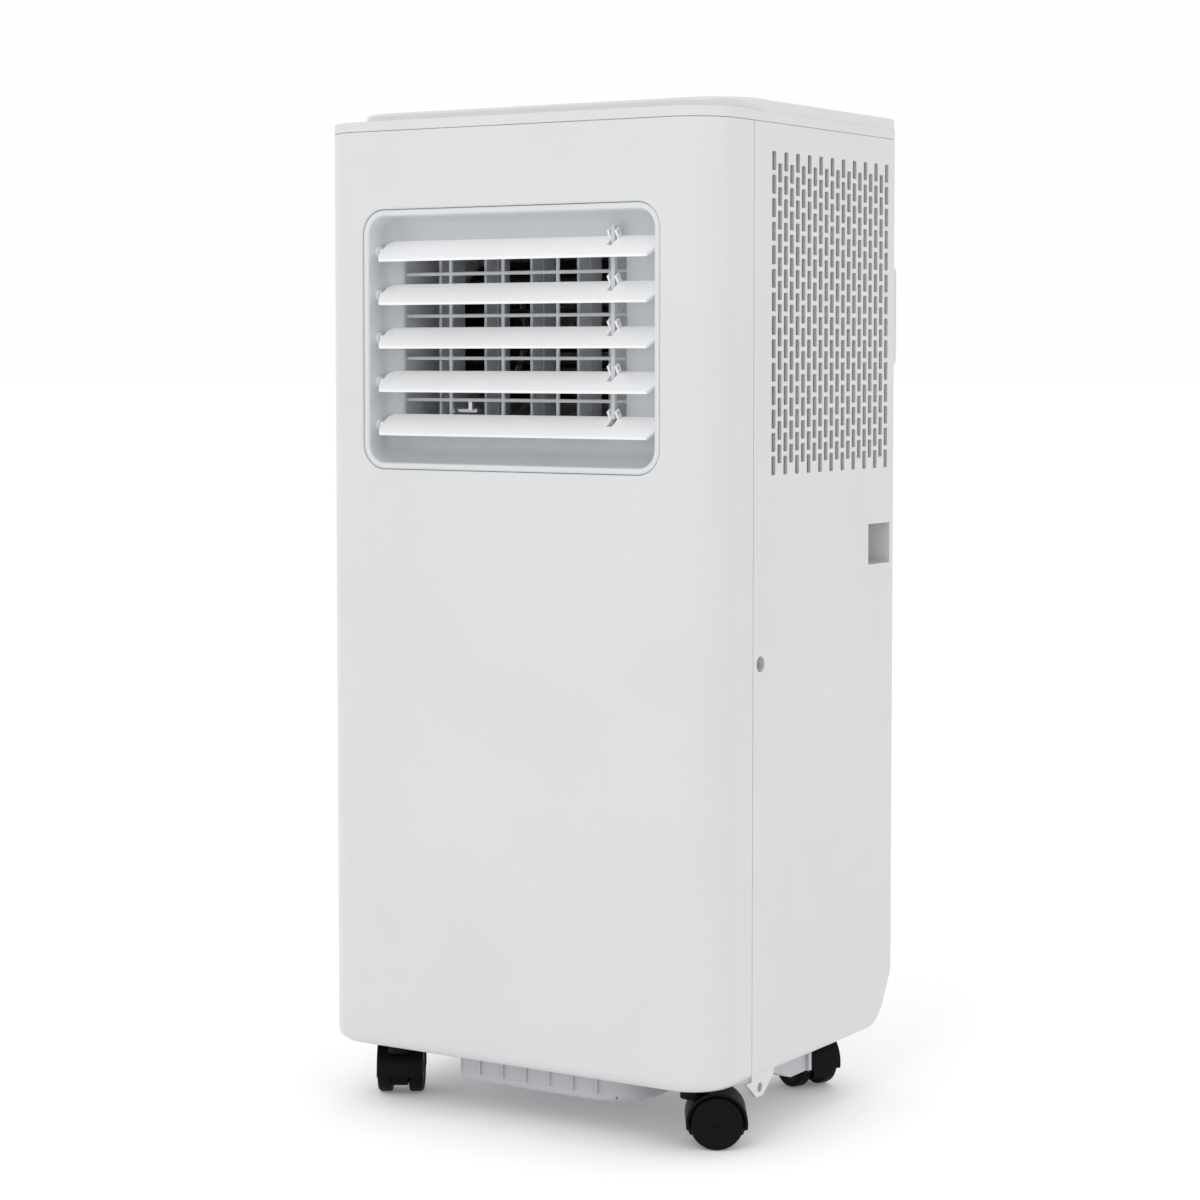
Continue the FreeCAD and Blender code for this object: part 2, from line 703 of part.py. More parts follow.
def outlet_frame():
    """Bevelled rim, recess and duct in one moulding, with the holes for the pivots."""
    fit, rim = s.outlet_fit, s.rim_width
    wide = s.outlet_width / 2 - fit
    back = front + s.recess_depth + s.wall
    block = rounded_bar("outlet_block", front, s.recess_depth + s.wall, fit, s.outlet_radius)
    recess = rounded_bar("outlet_recess", front - 1, s.recess_depth + 1, fit + rim, s.outlet_radius - rim)
    bevel = rounded_bar("outlet_bevel", front, s.rim_bevel + 0.01, fit + rim - s.rim_bevel,
                        s.outlet_radius - rim + s.rim_bevel, bevel=s.rim_bevel)
    left, right = 0 - s.duct_left, s.duct_right
    sleeve = box("duct_sleeve", (left - s.wall, right + s.wall), (back - s.wall, front + s.duct_end),
                 (s.duct_low - s.wall, s.duct_high + s.wall))
    baffle = box("duct_baffle", (BAFFLE_START, right + 1), (front + s.duct_end - BAFFLE_THICK, front + s.duct_end),
                 (s.duct_low - 1, s.duct_high + 1))
    solids = [cut("outlet_bowl", block, [recess, bevel])]
    for name, z in louver_pivots():
        for side in (-1, 1):
            inner = wide - s.rim_width - BUSH[1]
            start = inner if side > 0 else 0 - inner - BUSH[1] - 1
            solids.append(rod(name + "_bush", "x", BUSH[0], (start, front + s.louver_depth, z), BUSH[1] + 1))
    opening = box("duct_opening", (left, right), (front + s.recess_depth - 1, front + s.duct_end + 1),
                  (s.duct_low, s.duct_high))
    duct = fuse("duct_with_baffle", [cut("duct_tube", sleeve, [opening]), baffle])
    hole = s.pivot_radius + s.running_gap
    tools = []
    for name, z in louver_pivots():
        tools.append(rod(name + "_hole", "x", hole, (0 - half, front + s.louver_depth, z), s.body_width))
    for name, x in vane_places():
        tools.append(rod(name + "_hole", "z", VANE_PIN + s.running_gap,
                         (x, front + s.vane_depth, s.duct_low - BEYOND), s.duct_high - s.duct_low + 2 * BEYOND))
    mouth = box("duct_mouth", (left, right), (front + s.recess_depth - 1, back + 1), (s.duct_low, s.duct_high))
    bowl = cut("outlet_bowl_open", fuse("outlet_solids", solids), [mouth])
    sub_part("outlet_frame", cut("outlet_frame", fuse("outlet_whole", [bowl, duct]), tools))


GUARD_ROWS = (578.1, 549.5, 520.6, 492.2)
GUARD_COLUMNS = (-65.2, -22.2, 21.8, 64.8)


def safety_grille():
    """The finger guard: thin bars across the duct, joined where they cross."""
    bar = s.guard_bar
    y = (front + s.guard_depth, front + s.guard_depth + bar)
    bars = [box("guard_row", (0 - s.duct_left, s.duct_right), y, (z - bar / 2, z + bar / 2))
            for z in GUARD_ROWS]
    bars += [box("guard_column", (x - bar / 2, x + bar / 2), y, (s.duct_low, s.duct_high))
             for x in GUARD_COLUMNS]
    sub_part("safety_grille", fuse("safety_grille", bars))


EAR = (1.6, 2.1)             # thickness of a clip ear, and its half width along the blade
LINK_PIN = 1.0
LINK_HOLE = 1.3
VANE_PIN = 1.5


def louver(name, z):
    """A blade on two end pivots, with a notch and a two-eared clip for the link rod.

    Built level about its own pivot, Y from front to back, and then tilted.
    """
    chord, thick = s.louver_chord, s.louver_thick
    body = new_body(name + "_blade")
    drawing = sketch_on(body, "XY_Plane", 0 - thick / 2)
    end, clip = s.louver_half, s.louver_clip
    notch_left = s.link_x - s.link_width / 2 - 0.7
    notch_right = s.link_x + s.link_width / 2 + 0.7
    outline(drawing, [
        (clip - end, 0 - chord / 2), (end - clip, 0 - chord / 2), (end, 0 - chord / 6), (end, chord / 3),
        (end - clip, chord / 2), (notch_right, chord / 2), (notch_right, 0), (notch_left, 0),
        (notch_left, chord / 2), (clip - end, chord / 2), (0 - end, chord / 3), (0 - end, 0 - chord / 6),
    ])
    grow(body, "Pad", drawing, thick)
    pieces = [body]
    for side in (-1, 1):
        start = end - 1 if side > 0 else 0 - end - 5.5
        pieces.append(rod(name + "_pivot", "x", s.pivot_radius, (start, 0, 0), 6.5))
    ear_thick, ear_half = EAR
    back = s.link_back
    for start in (notch_left - ear_thick, notch_right):
        pieces.append(box(name + "_ear", (start, start + ear_thick), (back - ear_half, back + ear_half),
                          (0 - thick / 2, s.link_up + ear_half)))
    hole = rod(name + "_link_hole", "x", LINK_HOLE, (notch_left - BEYOND / 2, back, s.link_up), BEYOND * 1.5)
    whole = cut(name, fuse(name + "_solid", pieces), [hole])
    whole.Placement = Placement(Vector(), Rotation(X, s.louver_tilt.value))
    put(whole, 0, front + s.louver_depth, z)
    sub_part(name, whole)


def link_pin_offset():
    """From a louver's pivot to its link pin at rest, as (back, up)."""
    tilt = math.radians(s.louver_tilt.value)
    back, up = s.link_back.value, s.link_up.value
    return (back * math.cos(tilt) - up * math.sin(tilt), back * math.sin(tilt) + up * math.cos(tilt))


def louver_link_rod():
    back, up = link_pin_offset()
    pins = [z + up for name, z in louver_pivots()]
    y = front + s.louver_depth + back
    thick, wide = s.link_thick, s.link_width
    pieces = [box("link_bar", (s.link_x - wide / 2, s.link_x + wide / 2), (y - thick / 2, y + thick / 2),
                  (pins[-1] - 4, pins[0] + 4))]
    pin_length = wide + 2 * EAR[0]
    pieces += [rod("link_pin", "x", LINK_PIN, (s.link_x - pin_length / 2, y, z), pin_length) for z in pins]
    sub_part("louver_link_rod", fuse("louver_link_rod", pieces))


LOUVER_MOTOR = (14.0, 17.0, 8.0)     # radius, length, shaft offset


def louver_motor():
    """A small stepper behind the recess wall, in line with the middle louver."""
    radius, length, offset = LOUVER_MOTOR
    z = s.louver_top - 2 * s.louver_pitch
    y = front + s.louver_depth
    start = s.outlet_width / 2 + 1.0
    can = rod("stepper_can", "x", radius, (start + 1.5, y + offset, z), length)
    boss = rod("stepper_boss", "x", 4.5, (start, y, z), 2.0)
    ears = box("stepper_ears", (start + 1.5, start + 2.5), (y + offset - 3.5, y + offset + 3.5),
               (z - 20.0, z + 20.0))
    sub_part("louver_motor", fuse("louver_motor", [can, boss, ears]))


VANE_CRANK = 10.0            # crank pin behind the vane's pivot
VANE_BAR = (472.0, 474.4, 3.5)       # low, high and half width of the vane link bar


def vane(name, x):
    """An upright blade on two pivots, with a crank pin below for the link bar."""
    half_chord = s.vane_chord / 2
    y = front + s.vane_depth
    low = s.duct_low - s.wall + 0.5
    pieces = [
        box(name + "_blade", (x - 1, x + 1), (y - half_chord, y + half_chord), (s.vane_low, s.vane_high)),
        rod(name + "_pivot", "z", VANE_PIN, (x, y, low), s.duct_high + s.wall - 0.5 - low),
        rod(name + "_crank", "z", 1.2, (x, y + VANE_CRANK, VANE_BAR[0] - 0.6), s.vane_low - VANE_BAR[0] + 1),
    ]
    sub_part(name, fuse(name, pieces))


def vane_link_bar():
    y = front + s.vane_depth + VANE_CRANK
    low, high, wide = VANE_BAR
    first = s.vane_first
    last = s.vane_first + (VANES - 1) * s.vane_pitch
    bar = box("vane_bar", (first - 5, last + 5), (y - wide, y + wide), (low, high))
    holes = [rod("vane_bar_hole", "z", 1.5, (x, y, low - 1), BEYOND) for name, x in vane_places()]
    sub_part("vane_link_bar", cut("vane_link_bar", bar, holes))


PROBE = (-66.0, 20.0, 2.4, 485.0)    # start, length, radius and height of the thermistor


def thermistor():
    """The air temperature probe: a metal capsule on a clip behind the finger guard."""
    start, length, radius, z = PROBE
    back = front + s.guard_depth + s.guard_bar
    capsule = rod("probe_capsule", "x", radius, (start, back + 1.5 + radius, z), length)
    clip = box("probe_clip", (start + 14, start + 17), (back, back + 1.5 + radius), (z, GUARD_ROWS[3] + 1))
    sub_part("thermistor", fuse("thermistor", [capsule, clip]))


# ---------------------------------------------------------------- air movers

def blower_scroll():
    """The blower's housing: a drum that opens forwards into the outlet duct."""
    left, right = 0 - s.duct_left - s.wall, s.duct_right + s.wall
    y, z = front + s.blower_depth, s.blower_height
    start = front + s.duct_end + 0.4
    wall, radius = s.scroll_wall, s.scroll_radius
    outer = fuse("scroll_outer", [
        rod("scroll_drum", "x", radius, (left, y, z), right - left),
        box("scroll_throat", (left, right), (start, y), (s.duct_low - s.wall, z + radius)),
    ])
    inner = fuse("scroll_inner", [
        rod("scroll_drum_inside", "x", radius - wall, (left + wall, y, z), right - left - 2 * wall),
        box("scroll_throat_inside", (left + wall, right - wall), (start - 1, y),
            (s.duct_low - s.wall + wall, z + radius - wall)),
    ])
    inlet = rod("scroll_inlet", "x", 42.0, (left - 1, y, z), 5.0)
    shaft_way = rod("scroll_shaft_way", "x", 12.0, (right - 4, y, z), 6.0)
    sub_part("blower_scroll", cut("blower_scroll", outer, [inner, inlet, shaft_way]))


def fan_wheel(name, radius, length, blades, axis, start):
    """A squirrel-cage wheel: backplate with a bored hub, blades round the rim, and an end ring."""
    rim = 9.0
    plate = 2.0
    hub = Part.makeCylinder(9.0, 14.0)
    back = Part.makeCylinder(radius, plate)
    ring = Part.makeCylinder(radius, plate, Vector(0, 0, length - plate))
    ring = ring.cut(Part.makeCylinder(radius - rim, plate, Vector(0, 0, length - plate)))
    blade = Part.makeBox(rim - 1, 1.2, length - plate, Vector(radius - rim + 0.5, -0.6, plate / 2))
    blade.rotate(Vector(radius - rim / 2, 0, 0), Z, 35)
    turned = []
    for i in range(blades):
        copy = blade.copy()
        copy.rotate(Vector(), Z, i * 360.0 / blades)
        turned.append(copy)
    wheel = back.multiFuse([hub, ring] + turned)
    wheel = wheel.cut(Part.makeCylinder(s.shaft_radius.value + 0.05, length, Vector(0, 0, -1)))
    solid = feature(name, wheel)
    solid.Placement = Placement(Vector(), TURNS[axis])
    put(solid, *start)
    sub_part(name, solid)


def motor(name, axis, radius, length, start, shaft_start, shaft_length):
    """A motor can with its shaft: start and shaft_start are points on one axis."""
    can = rod(name + "_can", axis, radius, start, length)
    shaft = rod(name + "_shaft", axis, s.shaft_radius, shaft_start, shaft_length)
    sub_part(name, fuse(name, [can, shaft]))


def air_movers():
    y, z = front + s.blower_depth, s.blower_height
    right = s.duct_right + s.wall
    wheel_end = s.duct_right - 4
    wheel_start = 0 - s.duct_left + 4
    wheel = number(wheel_end - wheel_start)
    # The backplate and hub face the motor, so the wheel is turned to run back along -X.
    fan_wheel("blower_wheel", s.blower_radius.value, wheel, 24, "x", (wheel_start, y, z))
    flipped = doc.getObject("blower_wheel")
    flipped.setExpression("Placement.Base.x", written(wheel_end))
    flipped.Placement = Placement(Vector(), Rotation(Y, -90))
    motor("blower_motor", "x", 36.0, 44.0, (right + 0.5, y, z), (wheel_end - 16, y, z), 30.0)

    fan_y = front + s.duct_box_start + 10
    fan_wheel("condenser_fan", s.fan_radius.value, 40.0, 24, "y", (s.fan_x, fan_y, s.fan_height))
    motor("condenser_fan_motor", "y", 34.0, 40.0, (s.fan_x, front + s.duct_box_start - 40.5, s.fan_height),
          (s.fan_x, front + s.duct_box_start - 10, s.fan_height), 32.0)


EXHAUST_BOX = (-42.0, 132.0, 84.0, 392.0)    # left, right, low, high


def exhaust_duct():
    """The box that holds the condenser fan and leads its air up to the collar."""
    left, right, low, high = EXHAUST_BOX
    start, end = front + s.duct_box_start, front + s.duct_box_end
    wall = s.scroll_wall
    outer = box("exhaust_outer", (left, right), (start, end), (low, high))
    inner = box("exhaust_inner", (left + wall, right - wall), (start + wall, end - wall),
                (low + wall, high - wall))
    shaft_way = rod("exhaust_shaft_way", "y", 12.0, (s.fan_x, start - 1, s.fan_height), 5.0)
    inlet = rod("exhaust_inlet", "y", 58.0, (s.fan_x, end - 4, s.fan_height), 6.0)
    outlet = rod("exhaust_outlet", "y", s.collar_bore, (s.fan_x, end - 4, s.collar_height), 6.0)
    sub_part("exhaust_duct", cut("exhaust_duct", outer, [inner, shaft_way, inlet, outlet]))


def exhaust_collar():
    """The round spigot behind the rear wall that the hose fits into."""
    start = front + s.duct_box_end
    length = rear + s.collar_reach - start
    place = (s.fan_x, start, s.collar_height)
    tube = rod("collar_tube", "y", s.collar_radius, place, length)
    bore = rod("collar_bore", "y", s.collar_bore, (s.fan_x, start - 1, s.collar_height), length + 2)
    sub_part("exhaust_collar", cut("exhaust_collar", tube, [bore]))


# ---------------------------------------------------------------- coils, compressor and controls

def coil(name, x, y, z, bends):
    """A finned coil: fin block, two end plates, and U-bends that stand out of the left plate."""
    plate = 1.5
    pieces = [
        box(name + "_fins", (x[0] + plate, x[1] - plate), (y[0] + 2, y[1] - 2), (z[0] + 3, z[1] - 3)),
        box(name + "_left_plate", (x[0], x[0] + plate), y, z),
        box(name + "_right_plate", (x[1] - plate, x[1]), y, z),
    ]
    tube, bend = 3.5, 9.0
    step = number(z[1] - z[0]) / bends
    for i in range(bends):
        centre = Vector(number(x[0]), number(y[0] + y[1]) / 2, number(z[0]) + step * (i + 0.5))
        ring = Part.makeTorus(bend, tube, Vector(), Y, 0, 360, 180)
        ring.rotate(Vector(), Y, -90)
        ring.translate(centre)
        pieces.append(feature(name + "_bend", ring))
    sub_part(name, fuse(name, pieces))


def rear_filter():
    """The slide-out mesh screen in the rear wall: a frame with a grid of openings."""
    wide, low, high = FILTER
    fit = s.outlet_fit.value
    columns, rows, bar, frame = 9, 8, 2.0, 7.0
    x0, x1 = -wide + fit, wide - fit
    z0, z1 = low + fit, high - fit
    step_x = (x1 - x0 - 2 * frame + bar) / columns
    step_z = (z1 - z0 - 2 * frame + bar) / rows
    y0 = number(rear - s.wall)

    def loop(xa, xb, za, zb):
        corners = [Vector(xa, y0, za), Vector(xb, y0, za), Vector(xb, y0, zb), Vector(xa, y0, zb)]
        return Part.makePolygon(corners + corners[:1])

    wires = [loop(x0, x1, z0, z1)]
    for i in range(columns):
        for k in range(rows):
            xa, za = x0 + frame + i * step_x, z0 + frame + k * step_z
            wires.append(loop(xa, xa + step_x - bar, za, za + step_z - bar))
    face = Part.makeFace(Part.makeCompound(wires), "Part::FaceMakerBullseye")
    sub_part("rear_filter", feature("rear_filter", face.extrude(Vector(0, s.wall.value, 0))))


COMPRESSOR = (-96.0, 100.0)  # x, and depth from the front face


def compressor():
    """A domed can on three rubber-footed legs, with its accumulator beside it."""
    body = new_body("compressor_can")
    drawing = sketch_on(body, "XY_Plane", s.pan_top + 6)
    circle(drawing, 0, 0, 46.0)
    grow(body, "Pad", drawing, 188.0)
    dress(body, "Fillet", lambda e: e.Curve.TypeId == "Part::GeomCircle", 22.0)
    x, y = COMPRESSOR
    put(body, x, front + y, 0)
    feet = []
    for i in range(3):
        angle = math.radians(60 + 120 * i)
        fx, fy = x + 44 * math.cos(angle), front + y + 44 * math.sin(angle)
        feet.append(rod("compressor_foot", "z", 8.0, (fx, fy, s.pan_top), 22.0))
    sub_part("compressor", fuse("compressor", [body] + feet))
    tank = new_body("accumulator_can")
    shape = sketch_on(tank, "XY_Plane", 100.0)
    circle(shape, 0, 0, 19.0)
    grow(tank, "Pad", shape, 130.0)
    dress(tank, "Fillet", lambda e: e.Curve.TypeId == "Part::GeomCircle", 12.0)
    put(tank, x - 10, front + y + 70, 0)
    sub_part("accumulator", tank)


def tube_through(points, radius, bend):
    """A round tube of straight runs joined by tangent arcs of one bend radius."""
    edges = []
    at = points[0]
    for i in range(1, len(points) - 1):
        before, corner, after = points[i - 1], points[i], points[i + 1]
        into = (corner - before).normalize()
        out = (after - corner).normalize()
        turn = into.getAngle(out)
        trim = bend * math.tan(turn / 2)
        enter, leave = corner - into * trim, corner + out * trim
        inward = (out - into).normalize()
        centre = corner + inward * (bend / math.cos(turn / 2))
        nearest = centre - inward * bend
        edges.append(Part.LineSegment(at, enter).toShape())
        edges.append(Part.Arc(enter, nearest, leave).toShape())
        at = leave
    edges.append(Part.LineSegment(at, points[-1]).toShape())
    path = Part.Wire(edges)
    start = points[1] - points[0]
    section = Part.Wire(Part.Circle(points[0], start, radius).toShape())
    return path.makePipeShell([section], True, True)


def refrigerant_pipes():
    """Suction pipe from the evaporator, and discharge pipe to the condenser."""
    f = front.value
    x, y = COMPRESSOR
    top = number(s.pan_top) + 194
    suction = [Vector(x - 10, f + y + 70, 230.5), Vector(x - 10, f + y + 70, 330.0),
               Vector(-146.0, f + 200, 352.0), Vector(-146.0, f + 200, 500.0), Vector(-146.0, f + 224, 500.0)]
    discharge = [Vector(x + 12, f + y, top), Vector(x + 12, f + y, top + 32),
                 Vector(-52.0, f + y + 60, top + 32), Vector(-52.0, f + 198, 222.0), Vector(-52.0, f + 226, 222.0)]
    solids = [tube_through(suction, 4.8, 14.0), tube_through(discharge, 3.2, 12.0)]
    sub_part("refrigerant_pipes", feature("refrigerant_pipes", Part.makeCompound(solids)))


def drain_tray():
    """The tray between the cold half and the hot half, with a lip all round."""
    x, y, low = 132.0, (60.0, 252.0), 398.0
    outer = box("tray_outer", (-x, x), (front + y[0], front + y[1]), (low, low + 14))
    inner = box("tray_inner", (-x + 2, x - 2), (front + y[0] + 2, front + y[1] - 2), (low + 2, low + 15))
    sub_part("drain_tray", cut("drain_tray", outer, [inner]))


def control_box():
    """The box of electronics behind the front, with its cover's edge."""
    body = box("control_case", (5.0, 125.0), (front + 12, front + 52), (190.0, 345.0))
    cover = box("control_cover", (2.0, 128.0), (front + 9, front + 12), (187.0, 348.0))
    sub_part("control_box", fuse("control_box", [body, cover]))


# ---------------------------------------------------------------- rear fittings and fasteners

def cord_hooks():
    """Two hooks that the cord is wound round: a post and a long lip each."""
    hooks = []
    middle_z = (s.hook_low + s.hook_high) / 2
    for side in (-1, 1):
        lip = new_body("hook_lip")
        drawing = sketch_on(lip, "XZ_Plane", 0 - rear - s.hook_reach)
        inner, outer = half - 27, half - 6
        a, b = (inner, outer) if side > 0 else (0 - outer, 0 - inner)
        rectangle(drawing, (a, s.hook_low), (b, s.hook_high))
        grow(lip, "Pad", drawing, 4.0)
        dress(lip, "Fillet", lambda e: is_along(e, Y), 7.0)
        post_x = (a, a + 9) if side > 0 else (b - 9, b)
        post = box("hook_post", post_x, (rear, rear + s.hook_reach - 2), (middle_z - 22, middle_z + 22))
        hooks.append(fuse("hook", [lip, post]))
    group = doc.addObject("Part::Compound", "cord_hooks")
    group.Links = hooks
    sub_part("cord_hooks", group)


def cord_gland():
    """The bush in the rear wall that a supply cord would leave by."""
    x, z = GLAND
    neck = rod("gland_neck", "y", GLAND_HOLE - 0.1, (x, rear - s.wall - 6, z), 8.5)
    flange = rod("gland_flange", "y", 11.0, (x, rear, z), 3.0)
    nose = doc.addObject("Part::Cone", "gland_nose")
    bind(nose, "Radius1", 8.0)
    bind(nose, "Radius2", 6.0)
    bind(nose, "Height", 7.0)
    nose.Placement = Placement(Vector(), TURNS["y"])
    put(nose, x, rear + 3, z)
    hole = rod("gland_bore", "y", 4.2, (x, rear - BEYOND, z), 2 * BEYOND)
    sub_part("cord_gland", cut("cord_gland", fuse("gland_solid", [neck, flange, nose]), [hole]))


def drain_plug():
    """The rubber stopper of the rear drain, with a grip tab."""
    x, z = DRAIN
    neck = rod("plug_neck", "y", DRAIN_HOLE - 0.05, (x, rear - 13, z), 13.0)
    head = rod("plug_head", "y", 11.5, (x, rear, z), 3.0)
    tab = box("plug_tab", (x - 6.0, x + 6.0), (rear + 2, rear + 9), (z - 1.5, z + 1.5))
    sub_part("drain_plug", fuse("drain_plug", [neck, head, tab]))


REAR_SCREWS = ((-147.0, 140.0), (147.0, 140.0), (-147.0, 420.0), (147.0, 420.0), (-147.0, 664.0), (147.0, 664.0))


def housing_screws():
    """Two sunk side screws and six pan-head screws at the back, as separate solids."""
    screws = []
    head_r, head_t = SCREW_HEAD
    shank_r, shank_l = SCREW_SHANK
    y, z = front + SCREW_DEPTH, SCREW_HEIGHT
    for side in (-1, 1):
        floor = half - SCREW_CUP[2]
        start = floor if side > 0 else 0 - floor - head_t
        shank = floor - shank_l if side > 0 else 0 - floor
        head = rod("screw_head", "x", head_r, (start, y, z), head_t)
        pin = rod("screw_shank", "x", shank_r, (shank, y, z), shank_l)
        screws.append(fuse("side_screw", [head, pin]))
    for x, z in REAR_SCREWS:
        screws.append(rod("rear_screw", "y", 3.6, (x, rear, z), 2.2))
    group = doc.addObject("Part::Compound", "housing_screws")
    group.Links = screws
    sub_part("housing_screws", group)


def grip_cups():
    group = doc.addObject("Part::Compound", "grip_cups")
    group.Links = [grip_cup(1), grip_cup(-1)]
    sub_part("grip_cups", group)


# ---------------------------------------------------------------- base and casters

def caster_places():
    """(name, x, y, rest turn in degrees): the wheels trail towards the turn's direction."""
    near, far = front + s.caster_front, front + s.caster_rear
    return [
        ("front_right_caster", s.caster_x, near, 31.9),
        ("front_left_caster", 0 - s.caster_x, near, 121.7),
        ("rear_right_caster", s.caster_x, far, 151.9),
        ("rear_left_caster", 0 - s.caster_x, far, 98.0),
    ]


SUMP = (-65.0, 84.0, 28.0, 150.0)        # left, right, front depth, rear depth
SUMP_ROUND = (38.0, 16.0, 6.0)           # its front right corner, its other corners, its lower edge
SUMP_INSIDE = (-45.0, 66.0)              # left and right of the water space
SUMP_RIBS = 6
RAMP = (96.0, 135.0, 81.0, 150.0, 176.0, 24.5)   # left, right, start, foot, end, underside


def base_pan():
    """The floor plate with its sump, the ramped box beside it, and the caster sockets."""
    edge = s.floor_margin - 2.4
    low = s.pan_top - s.pan_thick
    plate = box("pan_plate", (edge - half, half - edge), (front + edge, rear - s.chamfer_foot_in - 0.5),
                (low, s.pan_top))
    left, right, near, far = SUMP
    sump = new_body("sump")
    drawing = sketch_on(sump, "XY_Plane", s.sump_low)
    rectangle(drawing, (left, front + near), (right, front + far))
    grow(sump, "Pad", drawing, s.pan_top - s.sump_low)
    wide_round, corner_round, foot_round = SUMP_ROUND

    def front_right(edge):
        return middle(edge).x > right - NEAR and middle(edge).y < number(front + near) + NEAR

    dress(sump, "Fillet", lambda e: is_along(e, Z) and front_right(e), wide_round)
    tall_edges = [middle(e) for e in sump.Shape.Edges if is_along(e, Z)]
    corners = [place for place in tall_edges if place.x < left + NEAR or place.y > number(front + far) - NEAR]
    dress(sump, "Fillet", lambda e: is_along(e, Z) and any(middle(e).isEqual(c, NEAR) for c in corners
                                                           if c.x < left + NEAR or c.x > right - NEAR),
          corner_round)
    under = s.sump_low.value
    dress(sump, "Fillet", lambda e: middle(e).z < under + NEAR, foot_round)

    ramp = new_body("ramp")
    side = sketch_on(ramp, "YZ_Plane", RAMP[0])
    outline(side, [(front + RAMP[2], low + 1), (front + RAMP[3], RAMP[5]), (front + RAMP[4], RAMP[5]),
                   (front + RAMP[4], low + 1)])
    grow(ramp, "Pad", side, RAMP[1] - RAMP[0])
    ramp_rib = box("ramp_rib", (RAMP[1], RAMP[1] + 2.5), (front + RAMP[4] - 4, front + RAMP[4]),
                   (RAMP[5], low + 1))
    solids = [plate, sump, ramp, ramp_rib]
    for i in range(SUMP_RIBS):
        x = left + 24 + i * 19.0
        solids.append(box("sump_rib", (x - 0.8, x + 0.8), (front + near - 1.6, front + near + 2.5),
                          (s.sump_low + 6, s.pan_top)))
    for name, x, y, turn in caster_places():
        solids.append(rod(name + "_socket", "z", 8.8, (x, y, s.body_base), 26.0))
    tools = [box("sump_hollow", SUMP_INSIDE, (front + near + 6, front + far - 5),
                 (s.sump_low + 2.5, s.pan_top + 1))]
    for name, x, y, turn in caster_places():
        tools.append(rod(name + "_bore", "z", s.stem_radius + s.running_gap, (x, y, s.sump_low), 60.0))
    sub_part("base_pan", cut("base_pan", fuse("pan_solid", solids), tools))


def at_caster(thing, x, y, turn):
    thing.Placement = Placement(Vector(), Rotation(Z, turn))
    put(thing, x, y, 0)
    return thing


def caster_hood(name, x, y, turn):
    """Web, arched cover, turret, stem and axle, built with the wheels trailing along +X."""
    trail, axle_z = s.caster_trail, s.wheel_radius
    full = s.wheel_gap + 2 * s.wheel_width
    web = s.wheel_gap / 2 - 0.35
    drum = rod(name + "_drum", "y", s.hood_radius, (trail, 0 - full / 2, axle_z), full)
    below = box(name + "_below", (-BEYOND, 3 * BEYOND), (-BEYOND, BEYOND), (-BEYOND, 14.0))
    web_disc = rod(name + "_web", "y", s.hood_radius - 0.5, (trail, 0 - web, axle_z), 2 * web)
    web_foot = box(name + "_web_foot", (-BEYOND, 3 * BEYOND), (-BEYOND, BEYOND), (-BEYOND, 8.0))
    cavities = [
        rod(name + "_cavity", "y", s.wheel_radius + 0.7, (trail, web, axle_z), BEYOND),
        rod(name + "_cavity", "y", s.wheel_radius + 0.7, (trail, 0 - web - BEYOND, axle_z), BEYOND),
    ]
    cover = cut(name + "_cover", drum, [below] + cavities)
    spine = cut(name + "_spine", web_disc, [web_foot])
    turret = cut(name + "_turret", rod(name + "_turret_drum", "z", 9.0, (0, 0, 32.0), 11.7), cavities)
    stem = rod(name + "_stem", "z", s.stem_radius, (0, 0, 40.0), 28.0)
    axle = rod(name + "_axle", "y", s.axle_radius, (trail, 1.5 - full / 2, axle_z), full - 3)
    sub_part(name + "_hood", at_caster(fuse(name + "_hood", [cover, spine, turret, stem, axle]), x, y, turn))


def caster_wheel(name, side, x, y, turn):
    """One wheel of the pair: dished outside, bored for the axle. side is 1 or -1."""
    inner, wide = s.wheel_gap / 2, s.wheel_width
    trail, axle_z = s.caster_trail, s.wheel_radius
    start = inner if side > 0 else 0 - inner - wide
    tread = rod(name + "_tread", "y", s.wheel_radius, (trail, start, axle_z), wide)
    bore = rod(name + "_bore", "y", s.axle_radius + s.running_gap, (trail, start - 1, axle_z), wide + 2)
    dish_start = inner + wide - 1.2 if side > 0 else 0 - inner - wide - 1
    dish = rod(name + "_dish", "y", s.wheel_radius - 4, (trail, dish_start, axle_z), 2.2)
    wheel = cut(name, tread, [bore, dish])
    sub_part(name, at_caster(wheel, x, y, turn))


def casters():
    for name, x, y, turn in caster_places():
        caster_hood(name, x, y, turn)
        caster_wheel(name + "_wheel_a", 1, x, y, turn)
        caster_wheel(name + "_wheel_b", -1, x, y, turn)


# ---------------------------------------------------------------- assembly and files

def build():
    shell = cabinet_shell()
    base_pan()
    front_housing(shell)
    rear_housing(shell)
    intake_grille(1)
    intake_grille(-1)
    grip_cups()
    top_cover()
    control_panel()
    for name, (x, y) in button_places().items():
        button(name, x, y)
    outlet_frame()
    safety_grille()
    for name, z in louver_pivots():
        louver(name, z)
    louver_link_rod()
    louver_motor()
    for name, x in vane_places():
        vane(name, x)
    vane_link_bar()
    thermistor()
    blower_scroll()
    air_movers()
    exhaust_duct()
    exhaust_collar()
    coil("evaporator", (-138.0, 138.0), (front + 222, front + 248), (425.0, 650.0), 9)
    coil("condenser", (-34.0, 136.0), (front + 214, front + 238), (72.0, 246.0), 7)
    rear_filter()
    compressor()
    refrigerant_pipes()
    drain_tray()
    control_box()
    cord_hooks()
    cord_gland()
    drain_plug()
    housing_screws()
    casters()


